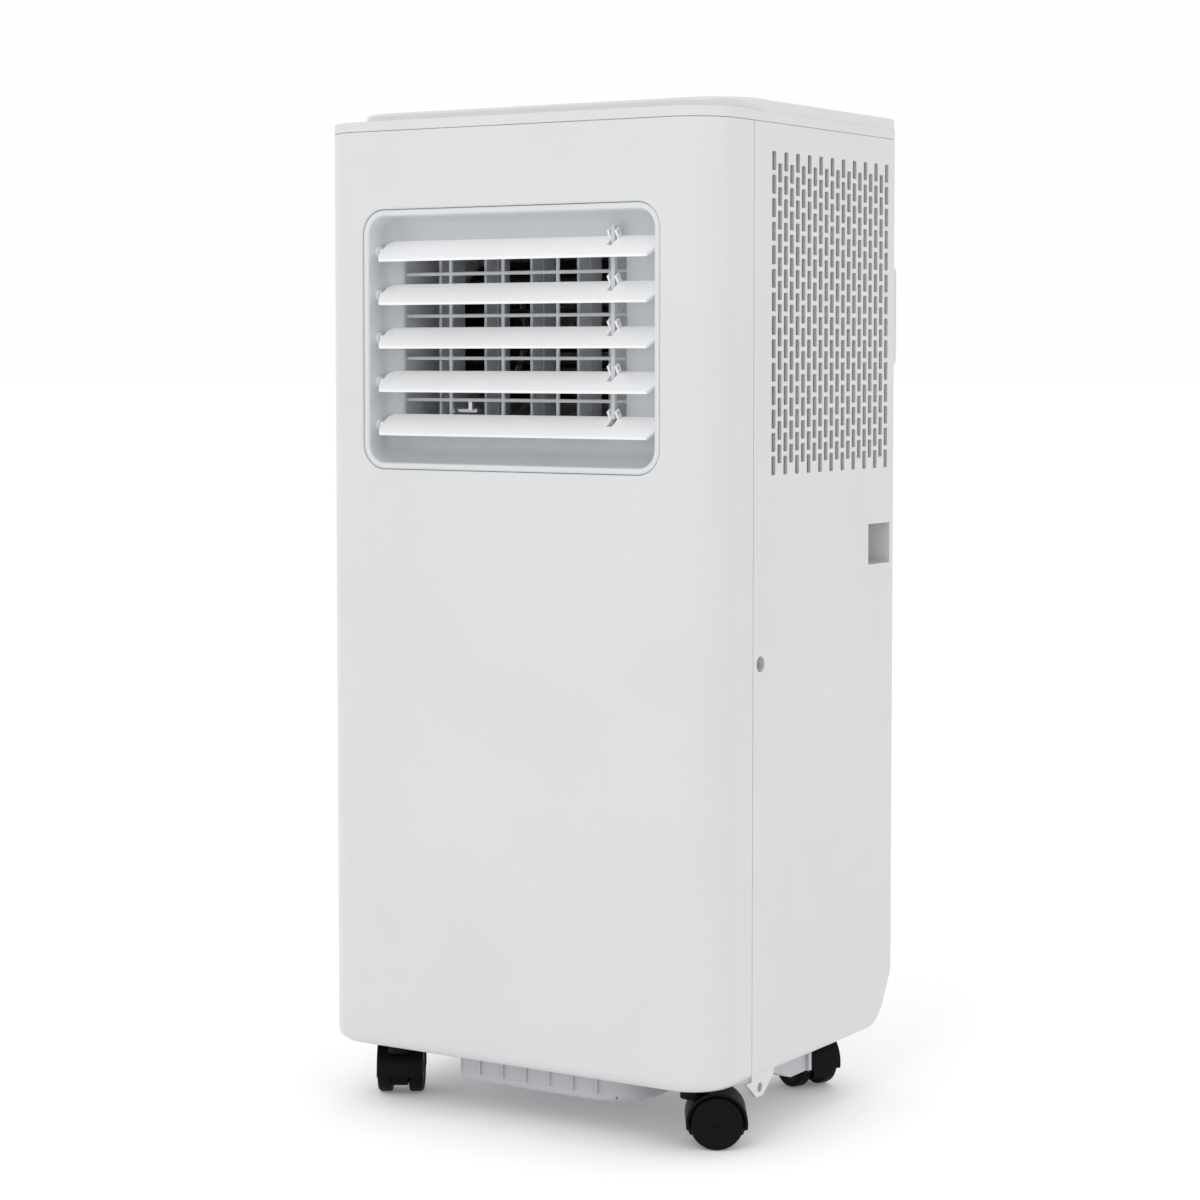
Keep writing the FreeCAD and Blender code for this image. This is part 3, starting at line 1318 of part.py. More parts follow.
def check():
    """Stops the run if any object failed or any sub-part isn't a sound solid."""
    doc.recompute()
    for thing in doc.Objects:
        if "Invalid" in thing.State or "Error" in thing.State:
            raise RuntimeError("%s (%s) is %s" % (thing.Name, thing.Label, thing.State))
    for thing in sub_parts:
        shape = thing.Shape
        if shape.isNull() or not shape.isValid() or not shape.Solids:
            raise RuntimeError(thing.Label + " has no sound shape")


def write():
    os.makedirs("parts", exist_ok=True)
    for thing in sub_parts:
        thing.Shape.exportStep("parts/%s.step" % thing.Label)
        bounds = thing.Shape.BoundBox
        print("%-28s solids %d volume %9.0f  x %7.1f %7.1f  y %7.1f %7.1f  z %7.1f %7.1f" % (
            thing.Label, len(thing.Shape.Solids), thing.Shape.Volume,
            bounds.XMin, bounds.XMax, bounds.YMin, bounds.YMax, bounds.ZMin, bounds.ZMax))
    print(len(sub_parts), "sub-parts")


build()
check()
write()
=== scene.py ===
import json
import math

import bmesh
import bpy
import numpy as np
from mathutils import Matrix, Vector

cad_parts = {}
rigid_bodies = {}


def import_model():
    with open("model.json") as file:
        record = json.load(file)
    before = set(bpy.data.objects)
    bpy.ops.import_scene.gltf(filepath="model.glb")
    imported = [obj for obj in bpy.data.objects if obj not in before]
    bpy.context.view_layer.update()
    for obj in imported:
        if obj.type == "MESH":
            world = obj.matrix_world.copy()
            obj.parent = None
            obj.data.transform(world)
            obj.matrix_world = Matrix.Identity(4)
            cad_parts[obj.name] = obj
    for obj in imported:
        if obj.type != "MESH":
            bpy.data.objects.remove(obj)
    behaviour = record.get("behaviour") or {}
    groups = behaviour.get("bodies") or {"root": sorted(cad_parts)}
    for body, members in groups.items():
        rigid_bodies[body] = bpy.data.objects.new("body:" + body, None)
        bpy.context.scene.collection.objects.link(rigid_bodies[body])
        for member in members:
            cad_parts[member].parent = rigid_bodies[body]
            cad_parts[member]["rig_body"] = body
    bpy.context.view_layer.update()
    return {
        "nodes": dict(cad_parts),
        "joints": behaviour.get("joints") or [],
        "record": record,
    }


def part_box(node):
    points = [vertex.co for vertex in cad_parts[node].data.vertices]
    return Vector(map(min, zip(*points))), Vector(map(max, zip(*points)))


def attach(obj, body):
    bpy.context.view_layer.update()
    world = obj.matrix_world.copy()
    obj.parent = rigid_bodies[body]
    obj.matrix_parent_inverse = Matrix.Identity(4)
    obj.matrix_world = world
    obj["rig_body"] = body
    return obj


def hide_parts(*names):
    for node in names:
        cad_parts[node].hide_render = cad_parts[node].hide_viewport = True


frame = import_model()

mm = 0.001
weld = 2e-6
quarter = np.pi / 2
joints = {joint["name"]: joint for joint in frame["joints"]}
slotOf = {part["node"]: part["material_slot"] for part in frame["record"]["subparts"]}
print("frame loaded:", len(frame["nodes"]), "nodes")


# Materials: one small class wraps a socket, another builds a material round it.

class Value:
    def __init__(self, paint, socket):
        self.paint = paint
        self.socket = socket

    def maths(self, operation, first, second):
        return self.paint.add("ShaderNodeMath", {"operation": operation}, {0: first, 1: second})

    def __add__(self, other):
        return self.maths("ADD", self, other)

    def __sub__(self, other):
        return self.maths("SUBTRACT", self, other)

    def __rsub__(self, other):
        return self.maths("SUBTRACT", other, self)

    def __mul__(self, other):
        return self.maths("MULTIPLY", self, other)

    def __truediv__(self, other):
        return self.maths("DIVIDE", self, other)

    __radd__ = __add__
    __rmul__ = __mul__


class Paint:
    def __init__(self, name, **shader):
        self.material = bpy.data.materials.new(name)
        self.material.use_nodes = True
        self.tree = self.material.node_tree
        self.shader = self.tree.nodes["Principled BSDF"]
        for socket, value in shader.items():
            self.feed(socket, value)
        place = self.tree.nodes.new("ShaderNodeTexCoord")
        self.place = Value(self, place.outputs["Object"])

    def feed(self, socket, value):
        self.fill(self.shader.inputs[socket.replace("_", " ")], value)

    def fill(self, socket, value):
        if isinstance(value, Value):
            self.tree.links.new(value.socket, socket)
        else:
            socket.default_value = value

    def add(self, kind, settings, sockets, out=0):
        node = self.tree.nodes.new(kind)
        for key, value in settings.items():
            if key == "stops":
                for element, (position, shade) in zip(node.color_ramp.elements, value):
                    element.position = position
                    element.color = (shade, shade, shade, 1)
            else:
                setattr(node, key, value)
        for key, value in sockets.items():
            self.fill(node.inputs[key], value)
        return Value(self, node.outputs[out])

    def noise(self, scale, detail=2.0, vector=None):
        return self.add("ShaderNodeTexNoise", {},
                        {"Vector": vector or self.place, "Scale": scale, "Detail": detail})

    def stretch(self, x, y, z):
        return self.add("ShaderNodeMapping", {}, {"Vector": self.place, "Scale": (x, y, z)})

    def ramp(self, value, low, high):
        return self.add("ShaderNodeValToRGB", {"stops": ((low, 0.0), (high, 1.0))}, {0: value})

    def mix(self, factor, first, second):
        return self.add("ShaderNodeMix", {"data_type": "RGBA"}, {0: factor, 6: first, 7: second}, out=2)

    def bump(self, height, distance, normal=None):
        sockets = {"Height": height, "Distance": distance, "Strength": 1.0}
        if normal:
            sockets["Normal"] = normal
        return self.add("ShaderNodeBump", {}, sockets)


def shaded(colour, factor):
    return tuple(channel * factor for channel in colour) + (1.0,)


# What each plastic is: colour, roughness and how far it wanders, depth of its skin, coat and shine.
plastics = {
    "white_housing": {"colour": (0.62, 0.62, 0.622), "rough": 0.30, "wander": 0.05, "skin": 0.010, "coat": 0.25},
    "outlet_white": {"colour": (0.61, 0.63, 0.65), "rough": 0.36, "wander": 0.06, "skin": 0.012, "coat": 0.15},
    "louver_white": {"colour": (0.87, 0.87, 0.875), "rough": 0.33, "wander": 0.05, "skin": 0.010, "coat": 0.20},
    "panel_grey": {"colour": (0.70, 0.71, 0.73), "rough": 0.42, "wander": 0.06, "skin": 0.020, "coat": 0.0},
    "button_grey": {"colour": (0.74, 0.75, 0.77), "rough": 0.30, "wander": 0.05, "skin": 0.010, "coat": 0.20},
    "base_grey": {"colour": (0.50, 0.495, 0.53), "rough": 0.46, "wander": 0.08, "skin": 0.025, "coat": 0.0},
    "guard_grey": {"colour": (0.55, 0.57, 0.59), "rough": 0.42, "wander": 0.06, "skin": 0.012, "coat": 0.0},
    "vane_grey": {"colour": (0.44, 0.46, 0.48), "rough": 0.48, "wander": 0.08, "skin": 0.015, "coat": 0.0},
    # filter_grey is near black: partly the dust screen's own dark grey, partly painted shade standing for the
    # shade inside the grille slots
    "filter_grey": {"colour": (0.055, 0.063, 0.063), "rough": 0.60, "wander": 0.08, "skin": 0.030, "coat": 0.0,
                    "shine": 0.3},
    "fan_black": {"colour": (0.012, 0.012, 0.013), "rough": 0.55, "wander": 0.10, "skin": 0.030, "coat": 0.0,
                  "shine": 0.2},
    "caster_black": {"colour": (0.003, 0.003, 0.004), "rough": 0.42, "wander": 0.10, "skin": 0.020, "coat": 0.0,
                     "shine": 0.1},
    "wheel_black": {"colour": (0.004, 0.004, 0.0045), "rough": 0.50, "wander": 0.12, "skin": 0.030, "coat": 0.0,
                    "shine": 0.1},
    "rubber_black": {"colour": (0.016, 0.016, 0.017), "rough": 0.68, "wander": 0.10, "skin": 0.040, "coat": 0.0,
                     "shine": 0.3},
}


def plasticPaint(name, colour, rough, wander, skin, coat, shine=0.5):
    # moulded plastic: a faint mottle in its colour, roughness in patches, and the skin of the mould
    paint = Paint(name, IOR=1.49, Specular_IOR_Level=shine, Coat_Weight=coat, Coat_Roughness=0.12)
    patches = paint.noise(9.0, 3.0)
    grain = paint.noise(1400.0, 1.0)
    mottle = paint.ramp(patches, 0.35, 0.7)
    paint.feed("Base Color", paint.mix(mottle, shaded(colour, 0.975), shaded(colour, 1.01)))
    paint.feed("Roughness", rough - wander / 2 + patches * wander + (grain - 0.5) * 0.04)
    ripple = paint.bump(paint.noise(70.0, 1.0), skin * 2.5 * mm)
    paint.feed("Normal", paint.bump(grain, skin * mm, ripple))
    return paint.material


def displayPaint(name):
    paint = Paint(name, IOR=1.5, Coat_Weight=0.6, Coat_Roughness=0.05)
    smear = paint.noise(40.0, 3.0)
    paint.feed("Base Color", paint.mix(smear, (0.010, 0.010, 0.012, 1), (0.016, 0.016, 0.019, 1)))
    paint.feed("Roughness", 0.10 + smear * 0.10)
    paint.feed("Normal", paint.bump(smear, 0.01 * mm))
    return paint.material


def foamPaint(name):
    # pressed foam: a honeycomb of beads a few millimetres across
    paint = Paint(name, IOR=1.45)
    beads = paint.add("ShaderNodeTexVoronoi", {"feature": "F1"}, {"Vector": paint.place, "Scale": 300.0})
    paint.feed("Base Color", paint.mix(beads, (0.66, 0.66, 0.67, 1), (0.52, 0.52, 0.53, 1)))
    paint.feed("Roughness", 0.80 + beads * 0.10)
    paint.feed("Normal", paint.bump(1 - beads, 0.4 * mm))
    return paint.material


def finPaint(name):
    # coil: thin upright fins, with rows of tubes crossing them that are not drawn; the fins show as relief and
    # as painted shade, dark bands standing for the shade in the gaps between fins
    paint = Paint(name, Metallic=0.75)
    finsAndGapShade = paint.add("ShaderNodeTexWave", {"bands_direction": "X"},
                     {"Vector": paint.place, "Scale": 160.0, "Distortion": 0.6, "Detail": 1.0})
    dust = paint.noise(60.0, 4.0)
    metal = paint.mix(dust, (0.42, 0.44, 0.43, 1), (0.56, 0.57, 0.56, 1))
    # the dark colour in the fin bands is painted shade between the fins, not a colour of the metal
    paint.feed("Base Color", paint.mix(finsAndGapShade, (0.10, 0.11, 0.11, 1), metal))
    paint.feed("Roughness", 0.35 + dust * 0.25)
    paint.feed("Normal", paint.bump(finsAndGapShade, 0.5 * mm))
    return paint.material


def metalPaint(name, colour, rough, metallic, streak):
    # metal: fine streaks along the draw, and blotches of handling
    paint = Paint(name, Metallic=metallic)
    streaks = paint.noise(400.0, 2.0, paint.stretch(1.0, 1.0, 0.06))
    blotch = paint.noise(35.0, 4.0)
    paint.feed("Base Color", paint.mix(blotch, shaded(colour, 0.82), shaded(colour, 1.06)))
    paint.feed("Roughness", rough + (streaks - 0.5) * streak + (blotch - 0.5) * 0.12)
    paint.feed("Normal", paint.bump(streaks, 0.02 * mm))
    return paint.material


metals = {
    "motor_metal": {"colour": (0.33, 0.34, 0.36), "rough": 0.42, "metallic": 0.8, "streak": 0.20},
    "board_case": {"colour": (0.52, 0.53, 0.54), "rough": 0.45, "metallic": 0.7, "streak": 0.20},
    "compressor_black": {"colour": (0.020, 0.020, 0.022), "rough": 0.38, "metallic": 0.0, "streak": 0.10},
    "copper": {"colour": (0.72, 0.36, 0.22), "rough": 0.30, "metallic": 1.0, "streak": 0.25},
    "bright_metal": {"colour": (0.66, 0.66, 0.68), "rough": 0.26, "metallic": 1.0, "streak": 0.18},
}

paints = {name: plasticPaint(name, **facts) for name, facts in plastics.items()}
paints.update({name: metalPaint(name, **facts) for name, facts in metals.items()})
paints["display_black"] = displayPaint("display_black")
paints["foam_grey"] = foamPaint("foam_grey")
paints["coil_metal"] = finPaint("coil_metal")
for nodeName, part in frame["nodes"].items():
    part.data.materials.clear()
    part.data.materials.append(paints[slotOf[nodeName]])
print("materials made:", len(paints))


# Meshes: a patch is (points, faces), and a piece is several patches welded together.

def gridFaces(rows, cols, closeRows=False, closeCols=False):
    # quads between neighbours of a rows by cols grid of points listed row by row
    row = np.arange(rows if closeRows else rows - 1)
    col = np.arange(cols if closeCols else cols - 1)
    row, col = np.meshgrid(row, col, indexing="ij")
    nextRow, nextCol = (row + 1) % rows, (col + 1) % cols
    faces = np.stack([row * cols + col, row * cols + nextCol,
                      nextRow * cols + nextCol, nextRow * cols + col], -1)
    return faces.reshape(-1, 4).tolist()


def loft(rings, closeRows=False, closeCols=True):
    # one surface through rings of points, all with the same number of points
    rings = np.asarray(rings, float)
    return rings.reshape(-1, 3), gridFaces(len(rings), rings.shape[1], closeRows, closeCols)


def lathe(profile, centre, axis, steps=48, closed=True):
    # profile is (along, radius) pairs
    # surface = centre + axis * along + radius * (cos a, sin a) across the axis
    axis = np.array(axis, float) / np.linalg.norm(axis)
    across = np.cross(axis, (0.0, 0.0, 1.0) if abs(axis[2]) < 0.9 else (1.0, 0.0, 0.0))
    across /= np.linalg.norm(across)
    other = np.cross(axis, across)
    turn = np.linspace(0, 2 * np.pi, steps, endpoint=False)
    spoke = np.cos(turn)[:, None] * across + np.sin(turn)[:, None] * other
    profile = np.asarray(profile, float)
    rings = np.array(centre) + profile[:, :1, None] * axis + profile[:, 1:, None] * spoke[None]
    return loft(rings, closeRows=closed)


def roundedLoop(low, high, radius, steps=9):
    # a rounded rectangle's corner arcs in order, anticlockwise from the lower right
    turn = np.linspace(0, quarter, steps)
    middle = (np.array(low) + np.array(high)) / 2
    reach = (np.array(high) - np.array(low)) / 2 - radius
    arcs = []
    for corner, (sideA, sideB) in enumerate(((1, -1), (1, 1), (-1, 1), (-1, -1))):
        angle = turn + (corner - 1) * quarter
        arcs.append(np.stack([middle[0] + sideA * reach[0] + radius * np.cos(angle),
                              middle[1] + sideB * reach[1] + radius * np.sin(angle)], -1))
    return np.concatenate(arcs)


def planLoop(half, near, far, nearRadius, farRadius, steps=13):
    # the cabinet's plan outline: near corners of one radius, far corners of another
    turn = np.linspace(0, quarter, steps)
    arcs = []
    for corner, (side, y, radius) in enumerate(((1, near, nearRadius), (1, far, farRadius),
                                                (-1, far, farRadius), (-1, near, nearRadius))):
        angle = turn + (corner - 1) * quarter
        inward = radius if y == near else -radius
        arcs.append(np.stack([side * (half - radius) + radius * np.cos(angle),
                              y + inward + radius * np.sin(angle)], -1))
    return np.concatenate(arcs)


def atHeight(loop, z):
    return np.column_stack([loop, np.full(len(loop), z)])


def atDepth(loop, y):
    return np.column_stack([loop[:, 0], np.full(len(loop), y), loop[:, 1]])


def faceOf(patch, index):
    points = patch[0][patch[1][index]]
    normal = np.cross(points[1] - points[0], points[2] - points[0])
    return normal


def facing(patch, index, direction):
    # the patch, turned over if the face at index doesn't face along direction
    if np.dot(faceOf(patch, index), direction) >= 0:
        return patch
    return patch[0], [face[::-1] for face in patch[1]]


def dress(thing, slotName, body, replaced=()):
    thing.data.materials.clear()
    thing.data.materials.append(paints[slotName])
    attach(thing, body)
    if replaced:
        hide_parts(*replaced)


def settle(thing, sharp=34.0):
    # applies the modifiers, then shades the mesh smooth except over sharp edges
    mesh = bpy.data.meshes.new_from_object(thing.evaluated_get(bpy.context.evaluated_depsgraph_get()))
    thing.modifiers.clear()
    thing.data = mesh
    mesh.shade_smooth()
    mesh.set_sharp_from_angle(angle=math.radians(sharp))
    weighted = thing.modifiers.new("even", "WEIGHTED_NORMAL")
    weighted.keep_sharp = True


def piece(name, patches, body, slotName, replaced=(), wall=0.0, recalculate=True, edge=0.0, sharp=34.0):
    starts = np.cumsum([0] + [len(points) for points, faces in patches])
    points = np.concatenate([points for points, faces in patches])
    faces = [[corner + int(start) for corner in face]
             for start, patch in zip(starts, patches) for face in patch[1]]
    mesh = bpy.data.meshes.new(name)
    mesh.from_pydata(points.tolist(), [], faces)
    work = bmesh.new()
    work.from_mesh(mesh)
    bmesh.ops.remove_doubles(work, verts=work.verts, dist=weld)
    bmesh.ops.dissolve_degenerate(work, edges=work.edges, dist=weld)
    if recalculate:
        bmesh.ops.recalc_face_normals(work, faces=work.faces)
    work.to_mesh(mesh)
    work.free()
    thing = bpy.data.objects.new(name, mesh)
    bpy.context.scene.collection.objects.link(thing)
    if wall:
        solid = thing.modifiers.new("wall", "SOLIDIFY")
        solid.thickness = wall
        solid.offset = -1
        solid.use_even_offset = True
    if edge:
        bevel = thing.modifiers.new("edge", "BEVEL")
        bevel.width = edge
        bevel.segments = 2
        bevel.limit_method = "ANGLE"
        bevel.angle_limit = math.radians(40)
    settle(thing, sharp)
    dress(thing, slotName, body, replaced)
    return thing


def softened(nodes, radius, name=None, skip=None, segments=2):
    # a merged copy of CAD nodes whose sharp edges are rounded off by radius, except where skip says not
    first = frame["nodes"][nodes[0]]
    work = bmesh.new()
    for node in nodes:
        work.from_mesh(frame["nodes"][node].data)
    bmesh.ops.remove_doubles(work, verts=work.verts, dist=weld)
    bmesh.ops.dissolve_limit(work, angle_limit=math.radians(0.6), verts=work.verts, edges=work.edges)
    weight = work.edges.layers.float.new("bevel_weight_edge")
    for edge in work.edges:
        crisp = len(edge.link_faces) == 2 and edge.calc_face_angle(0) > math.radians(35)
        if crisp and not (skip and skip(edge)):
            edge[weight] = 1.0
    name = name or nodes[0] + "_soft"
    mesh = bpy.data.meshes.new(name)
    work.to_mesh(mesh)
    work.free()
    thing = bpy.data.objects.new(name, mesh)
    bpy.context.scene.collection.objects.link(thing)
    bevel = thing.modifiers.new("edge", "BEVEL")
    bevel.width = radius
    bevel.segments = segments
    bevel.limit_method = "WEIGHT"
    bevel.use_clamp_overlap = True
    settle(thing)
    dress(thing, slotOf[nodes[0]], first["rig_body"], nodes)
    return thing


def roll(radius, steps=4):
    # (inset, drop) along a quarter circle, from the face to the edge
    turn = np.linspace(0, quarter, steps)
    return radius * (1 - np.cos(turn)), radius * (1 - np.sin(turn))


# Front shell: the plan outline carried up the height, with a rounded foot and the outlet's hole.

frontSizes = {"wall": 2.5 * mm, "corner": 33 * mm, "foot": 8 * mm, "flange": 20 * mm,
              "seamRoll": 0.35 * mm, "tongueInset": 0.9 * mm, "tongue": 0.37 * mm,
              "holeRoll": 1.9 * mm, "holeCorner": 17 * mm, "holeFit": 0.2 * mm}


def frontShell(sizes):
    low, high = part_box("front_housing")
    holeLow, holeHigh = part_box("outlet_frame")
    half, radius, seam = high.x, sizes["corner"], sizes["seamRoll"]
    rollInset, rollDrop = roll(seam)
    # a thin tongue closes the seam behind its rolled edges
    rollInset = np.append(rollInset, [sizes["tongueInset"]] * 2)
    rollDrop = np.append(rollDrop, [0, -sizes["tongue"]])
    # half outline from the middle to the right seam: position, outward direction and extra inset
    turn = np.linspace(0, quarter, 17)
    hole = holeHigh.x + sizes["holeFit"]
    flat = np.array([hole - sizes["holeCorner"], hole + sizes["holeRoll"]])
    outX = np.concatenate([flat, half - radius + radius * np.sin(turn), np.full(len(rollDrop), half)])
    outY = np.concatenate([np.full(2, low.y), low.y + radius - radius * np.cos(turn), high.y - rollDrop])
    wayX = np.concatenate([np.zeros(2), np.sin(turn), np.ones(len(rollDrop))])
    wayY = np.concatenate([-np.ones(2), -np.cos(turn), np.zeros(len(rollDrop))])
    extra = np.concatenate([np.zeros(2 + len(turn)), rollInset])
    px, py = np.concatenate([-outX[::-1], outX]), np.concatenate([outY[::-1], outY])
    nx, ny = np.concatenate([-wayX[::-1], wayX]), np.concatenate([wayY[::-1], wayY])
    extra = np.concatenate([extra[::-1], extra])
    # heights from the floor flange up to the seam, each with its inset
    footInset, footDrop = roll(sizes["foot"], 9)
    topInset, topDrop = roll(seam)
    z0, z1 = holeLow.z - sizes["holeFit"], holeHigh.z + sizes["holeFit"]
    lips = [z0 - sizes["holeRoll"], z0 + sizes["holeCorner"],
            z1 - sizes["holeCorner"], z1 + sizes["holeRoll"]]
    heights = np.concatenate([[low.z], (low.z + footDrop)[::-1], lips, high.z - topDrop])
    insets = np.concatenate([[sizes["flange"]], footInset[::-1], np.zeros(4), topInset])
    shrink = insets[:, None] + extra[None]
    points = np.stack([px - nx * shrink, py - ny * shrink,
                       np.broadcast_to(heights[:, None], shrink.shape)], -1)
    rows, cols = shrink.shape
    faces = gridFaces(rows, cols)
    firstRow, middle = 1 + len(footDrop), cols // 2
    holeCols = range(middle - 2, middle + 1)
    holeRows = range(firstRow, firstRow + 3)
    faces = [face for index, face in enumerate(faces)
             if not (index // (cols - 1) in holeRows and index % (cols - 1) in holeCols)]
    shell = (points.reshape(-1, 3), faces)
    # hole: a rolled lip of rings, and a fan in each corner between the grid and the first ring
    lipInset, lipDrop = roll(sizes["holeRoll"], 5)
    rings = [atDepth(roundedLoop((-hole - d, z0 - d), (hole + d, z1 + d), sizes["holeCorner"] + d), low.y + i)
             for i, d in zip(lipInset, lipDrop)]
    rim = roundedLoop((-hole, z0), (hole, z1), sizes["holeCorner"])
    rings.append(atDepth(rim, low.y + sizes["wall"] * 1.6))
    lip = loft(rings)
    fans = []
    steps = len(rings[0]) // 4
    grow = sizes["holeRoll"]
    for corner, (side, up) in enumerate(((1, -1), (1, 1), (-1, 1), (-1, -1))):
        tip = [side * (hole + grow), low.y, z1 + grow if up > 0 else z0 - grow]
        arc = rings[0][corner * steps:(corner + 1) * steps]
        fan = (np.vstack([[tip], arc]), [[0, k + 1, k + 2] for k in range(steps - 1)])
        fans.append(facing(fan, 0, (0, -1, 0)))
    patches = [facing(shell, 0, (0, 0, -1)), lip] + fans
    return piece("front_shell", patches, "cabinet", "white_housing", ["front_housing"],
                 wall=sizes["wall"] * 0.6)


frontShell(frontSizes)
print("front shell made")


# Side grilles: one cell round a slot, repeated over two staggered sets of columns.

grilleSizes = {"columns": 21, "rows": 14, "across": 8.2 * mm, "up": 15.4 * mm,
               "wide": 5.3 * mm, "tall": 12.5 * mm,
               "corner": 0.9 * mm, "rim": 0.15 * mm, "wall": 2.5 * mm}


def slotCell(sizes):
    # one cell as a template: rectangle, slot rim and slot walls, outside and inside
    # x is 0 on the outside and minus the depth behind it
    a, b = sizes["across"] / 2, sizes["up"] / 2
    box = np.array([(a, -b), (a, 0), (a, b), (-a, b), (-a, 0), (-a, -b)])

    def slotLoop(grow):
        loop = roundedLoop((-sizes["wide"] / 2 - grow, -sizes["tall"] / 2 - grow),
                           (sizes["wide"] / 2 + grow, sizes["tall"] / 2 + grow), sizes["corner"] + grow, 3)
        right = [(sizes["wide"] / 2 + grow, 0)]
        return np.vstack([loop[0:3], right, loop[3:9], -np.array(right), loop[9:12]])

    rim, wall = sizes["rim"], sizes["wall"]
    layers = [(box, 0.0), (slotLoop(rim), 0.0), (slotLoop(0), rim), (slotLoop(0), wall), (box, wall)]
    points = np.vstack([np.column_stack([np.full(len(loop), -depth), loop]) for loop, depth in layers])
    starts = np.cumsum([0] + [len(loop) for loop, depth in layers])

    def collar(outer, inner):
        # faces between the cell's six rectangle points and the slot's fourteen
        o, i = starts[outer], starts[inner]
        corners = {0: (0, 1, 2), 2: (4, 5, 6), 3: (7, 8, 9), 5: (11, 12, 13)}
        faces = [[o + c, i + k[n], i + k[n + 1]] for c, k in corners.items() for n in range(2)]
        faces += [[o, o + 1, i + 3, i + 2], [o + 1, o + 2, i + 4, i + 3], [o + 2, o + 3, i + 7, i + 6]]
        faces += [[o + 3, o + 4, i + 10, i + 9], [o + 4, o + 5, i + 11, i + 10], [o + 5, o, i, i + 13]]
        return faces

    def tube(first, second):
        p, q, n = starts[first], starts[second], 14
        return [[p + k, p + (k + 1) % n, q + (k + 1) % n, q + k] for k in range(n)]

    inside = [face[::-1] for face in collar(4, 3)]
    return points, collar(0, 1) + tube(1, 2) + tube(2, 3) + inside


def slottedPlate(side, sizes):
    node = ("right" if side > 0 else "left") + "_intake_grille"
    low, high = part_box(node)
    outer = high.x if side > 0 else low.x
    middleY, middleZ = (low.y + high.y) / 2, (low.z + high.z) / 2
    cell, cellFaces = slotCell(sizes)
    columns = np.arange(sizes["columns"]) - sizes["columns"] // 2
    centres, blanks = [], []
    for column in columns:
        count = sizes["rows"] - column % 2
        z = middleZ + (np.arange(count) - (count - 1) / 2) * sizes["up"]
        centres.append(np.column_stack([np.full(count, middleY + column * sizes["across"]), z]))
        if column % 2:
            for end in (-1, 1):
                blanks.append((middleY + column * sizes["across"],
                               middleZ + end * sizes["up"] * (sizes["rows"] - 0.5) / 2))
    centres = np.concatenate(centres)
    points = np.empty((len(centres), len(cell), 3))
    points[..., 0] = cell[None, :, 0]
    points[..., 1:] = cell[None, :, 1:] + centres[:, None]
    shifts = np.arange(len(centres)) * len(cell)
    faces = [[int(corner + shift) for corner in face] for shift in shifts for face in cellFaces]
    patches = [(points.reshape(-1, 3), faces)]
    wall, a, quarterCell = sizes["wall"], sizes["across"] / 2, sizes["up"] / 4
    for y, z in blanks:
        for depth in (0.0, -wall):
            quad = np.array([(depth, y - a, z - quarterCell), (depth, y + a, z - quarterCell),
                             (depth, y + a, z + quarterCell), (depth, y - a, z + quarterCell)])
            patches.append(facing((quad, [[0, 1, 2, 3]]), 0, (1 if depth == 0 else -1, 0, 0)))
    # border from the lattice out to the window's edge, round the plate and back behind it
    fit = 0.1 * mm
    ys = middleY + (np.arange(sizes["columns"] + 1) - sizes["columns"] / 2) * sizes["across"]
    zs = middleZ + (np.arange(2 * sizes["rows"] + 1) - sizes["rows"]) * sizes["up"] / 2
    edgeLow, edgeHigh = np.array([low.y - fit, low.z - fit]), np.array([high.y + fit, high.z + fit])

    def border(first, last, bottom, top):
        return np.concatenate([np.column_stack([first, np.full(len(first), bottom)]),
                               np.column_stack([np.full(len(last) - 1, first[-1]), last[1:]]),
                               np.column_stack([first[::-1][1:], np.full(len(first) - 1, top)]),
                               np.column_stack([np.full(len(last) - 2, first[0]), last[::-1][1:-1]])])

    inner = border(ys, zs, zs[0], zs[-1])
    stretchedY, stretchedZ = ys.copy(), zs.copy()
    stretchedY[[0, -1]] = edgeLow[0], edgeHigh[0]
    stretchedZ[[0, -1]] = edgeLow[1], edgeHigh[1]
    outerRing = border(stretchedY, stretchedZ, edgeLow[1], edgeHigh[1])
    rings = [np.column_stack([np.full(len(loop), depth), loop])
             for loop, depth in ((inner, 0.0), (outerRing, 0.0), (outerRing, -wall), (inner, -wall))]
    patches.append(facing(loft(rings), 0, (1, 0, 0)))
    # ribs behind the plate
    for k in (-1, 0, 1):
        z = middleZ + k * 55 * mm
        loop = roundedLoop((low.y + 2 * mm, z - 1 * mm), (high.y - 2 * mm, z + 1 * mm), 0.5 * mm, 3)
        ribs = [np.column_stack([np.full(len(loop), depth), loop])
                for depth in (-wall * 0.98, -wall - 4.5 * mm)]
        rib = loft(ribs)
        cap = (ribs[1], [list(range(len(loop)))])
        patches += [rib, cap]
    placed = []
    for points, faces in patches:
        points = points.copy()
        points[:, 0] = outer + side * points[:, 0]
        placed.append((points, [face[::-1] for face in faces] if side < 0 else faces))
    return piece(node + "_plate", placed, "cabinet", "white_housing", [node], recalculate=False)


for side in (1, -1):
    slottedPlate(side, grilleSizes)
print("side grilles made")


# Dust screens behind the side grilles: a sheet pleated lightly front to back, held at its edges. Its near-black
# filter_grey colour is partly the screen's own dark grey and partly painted shade, standing for the shade inside
# the grille slots.

screenSizes = {"back": 7.6 * mm, "thick": 0.5 * mm, "margin": 3 * mm, "pleat": 0.35 * mm, "pleats": 24}


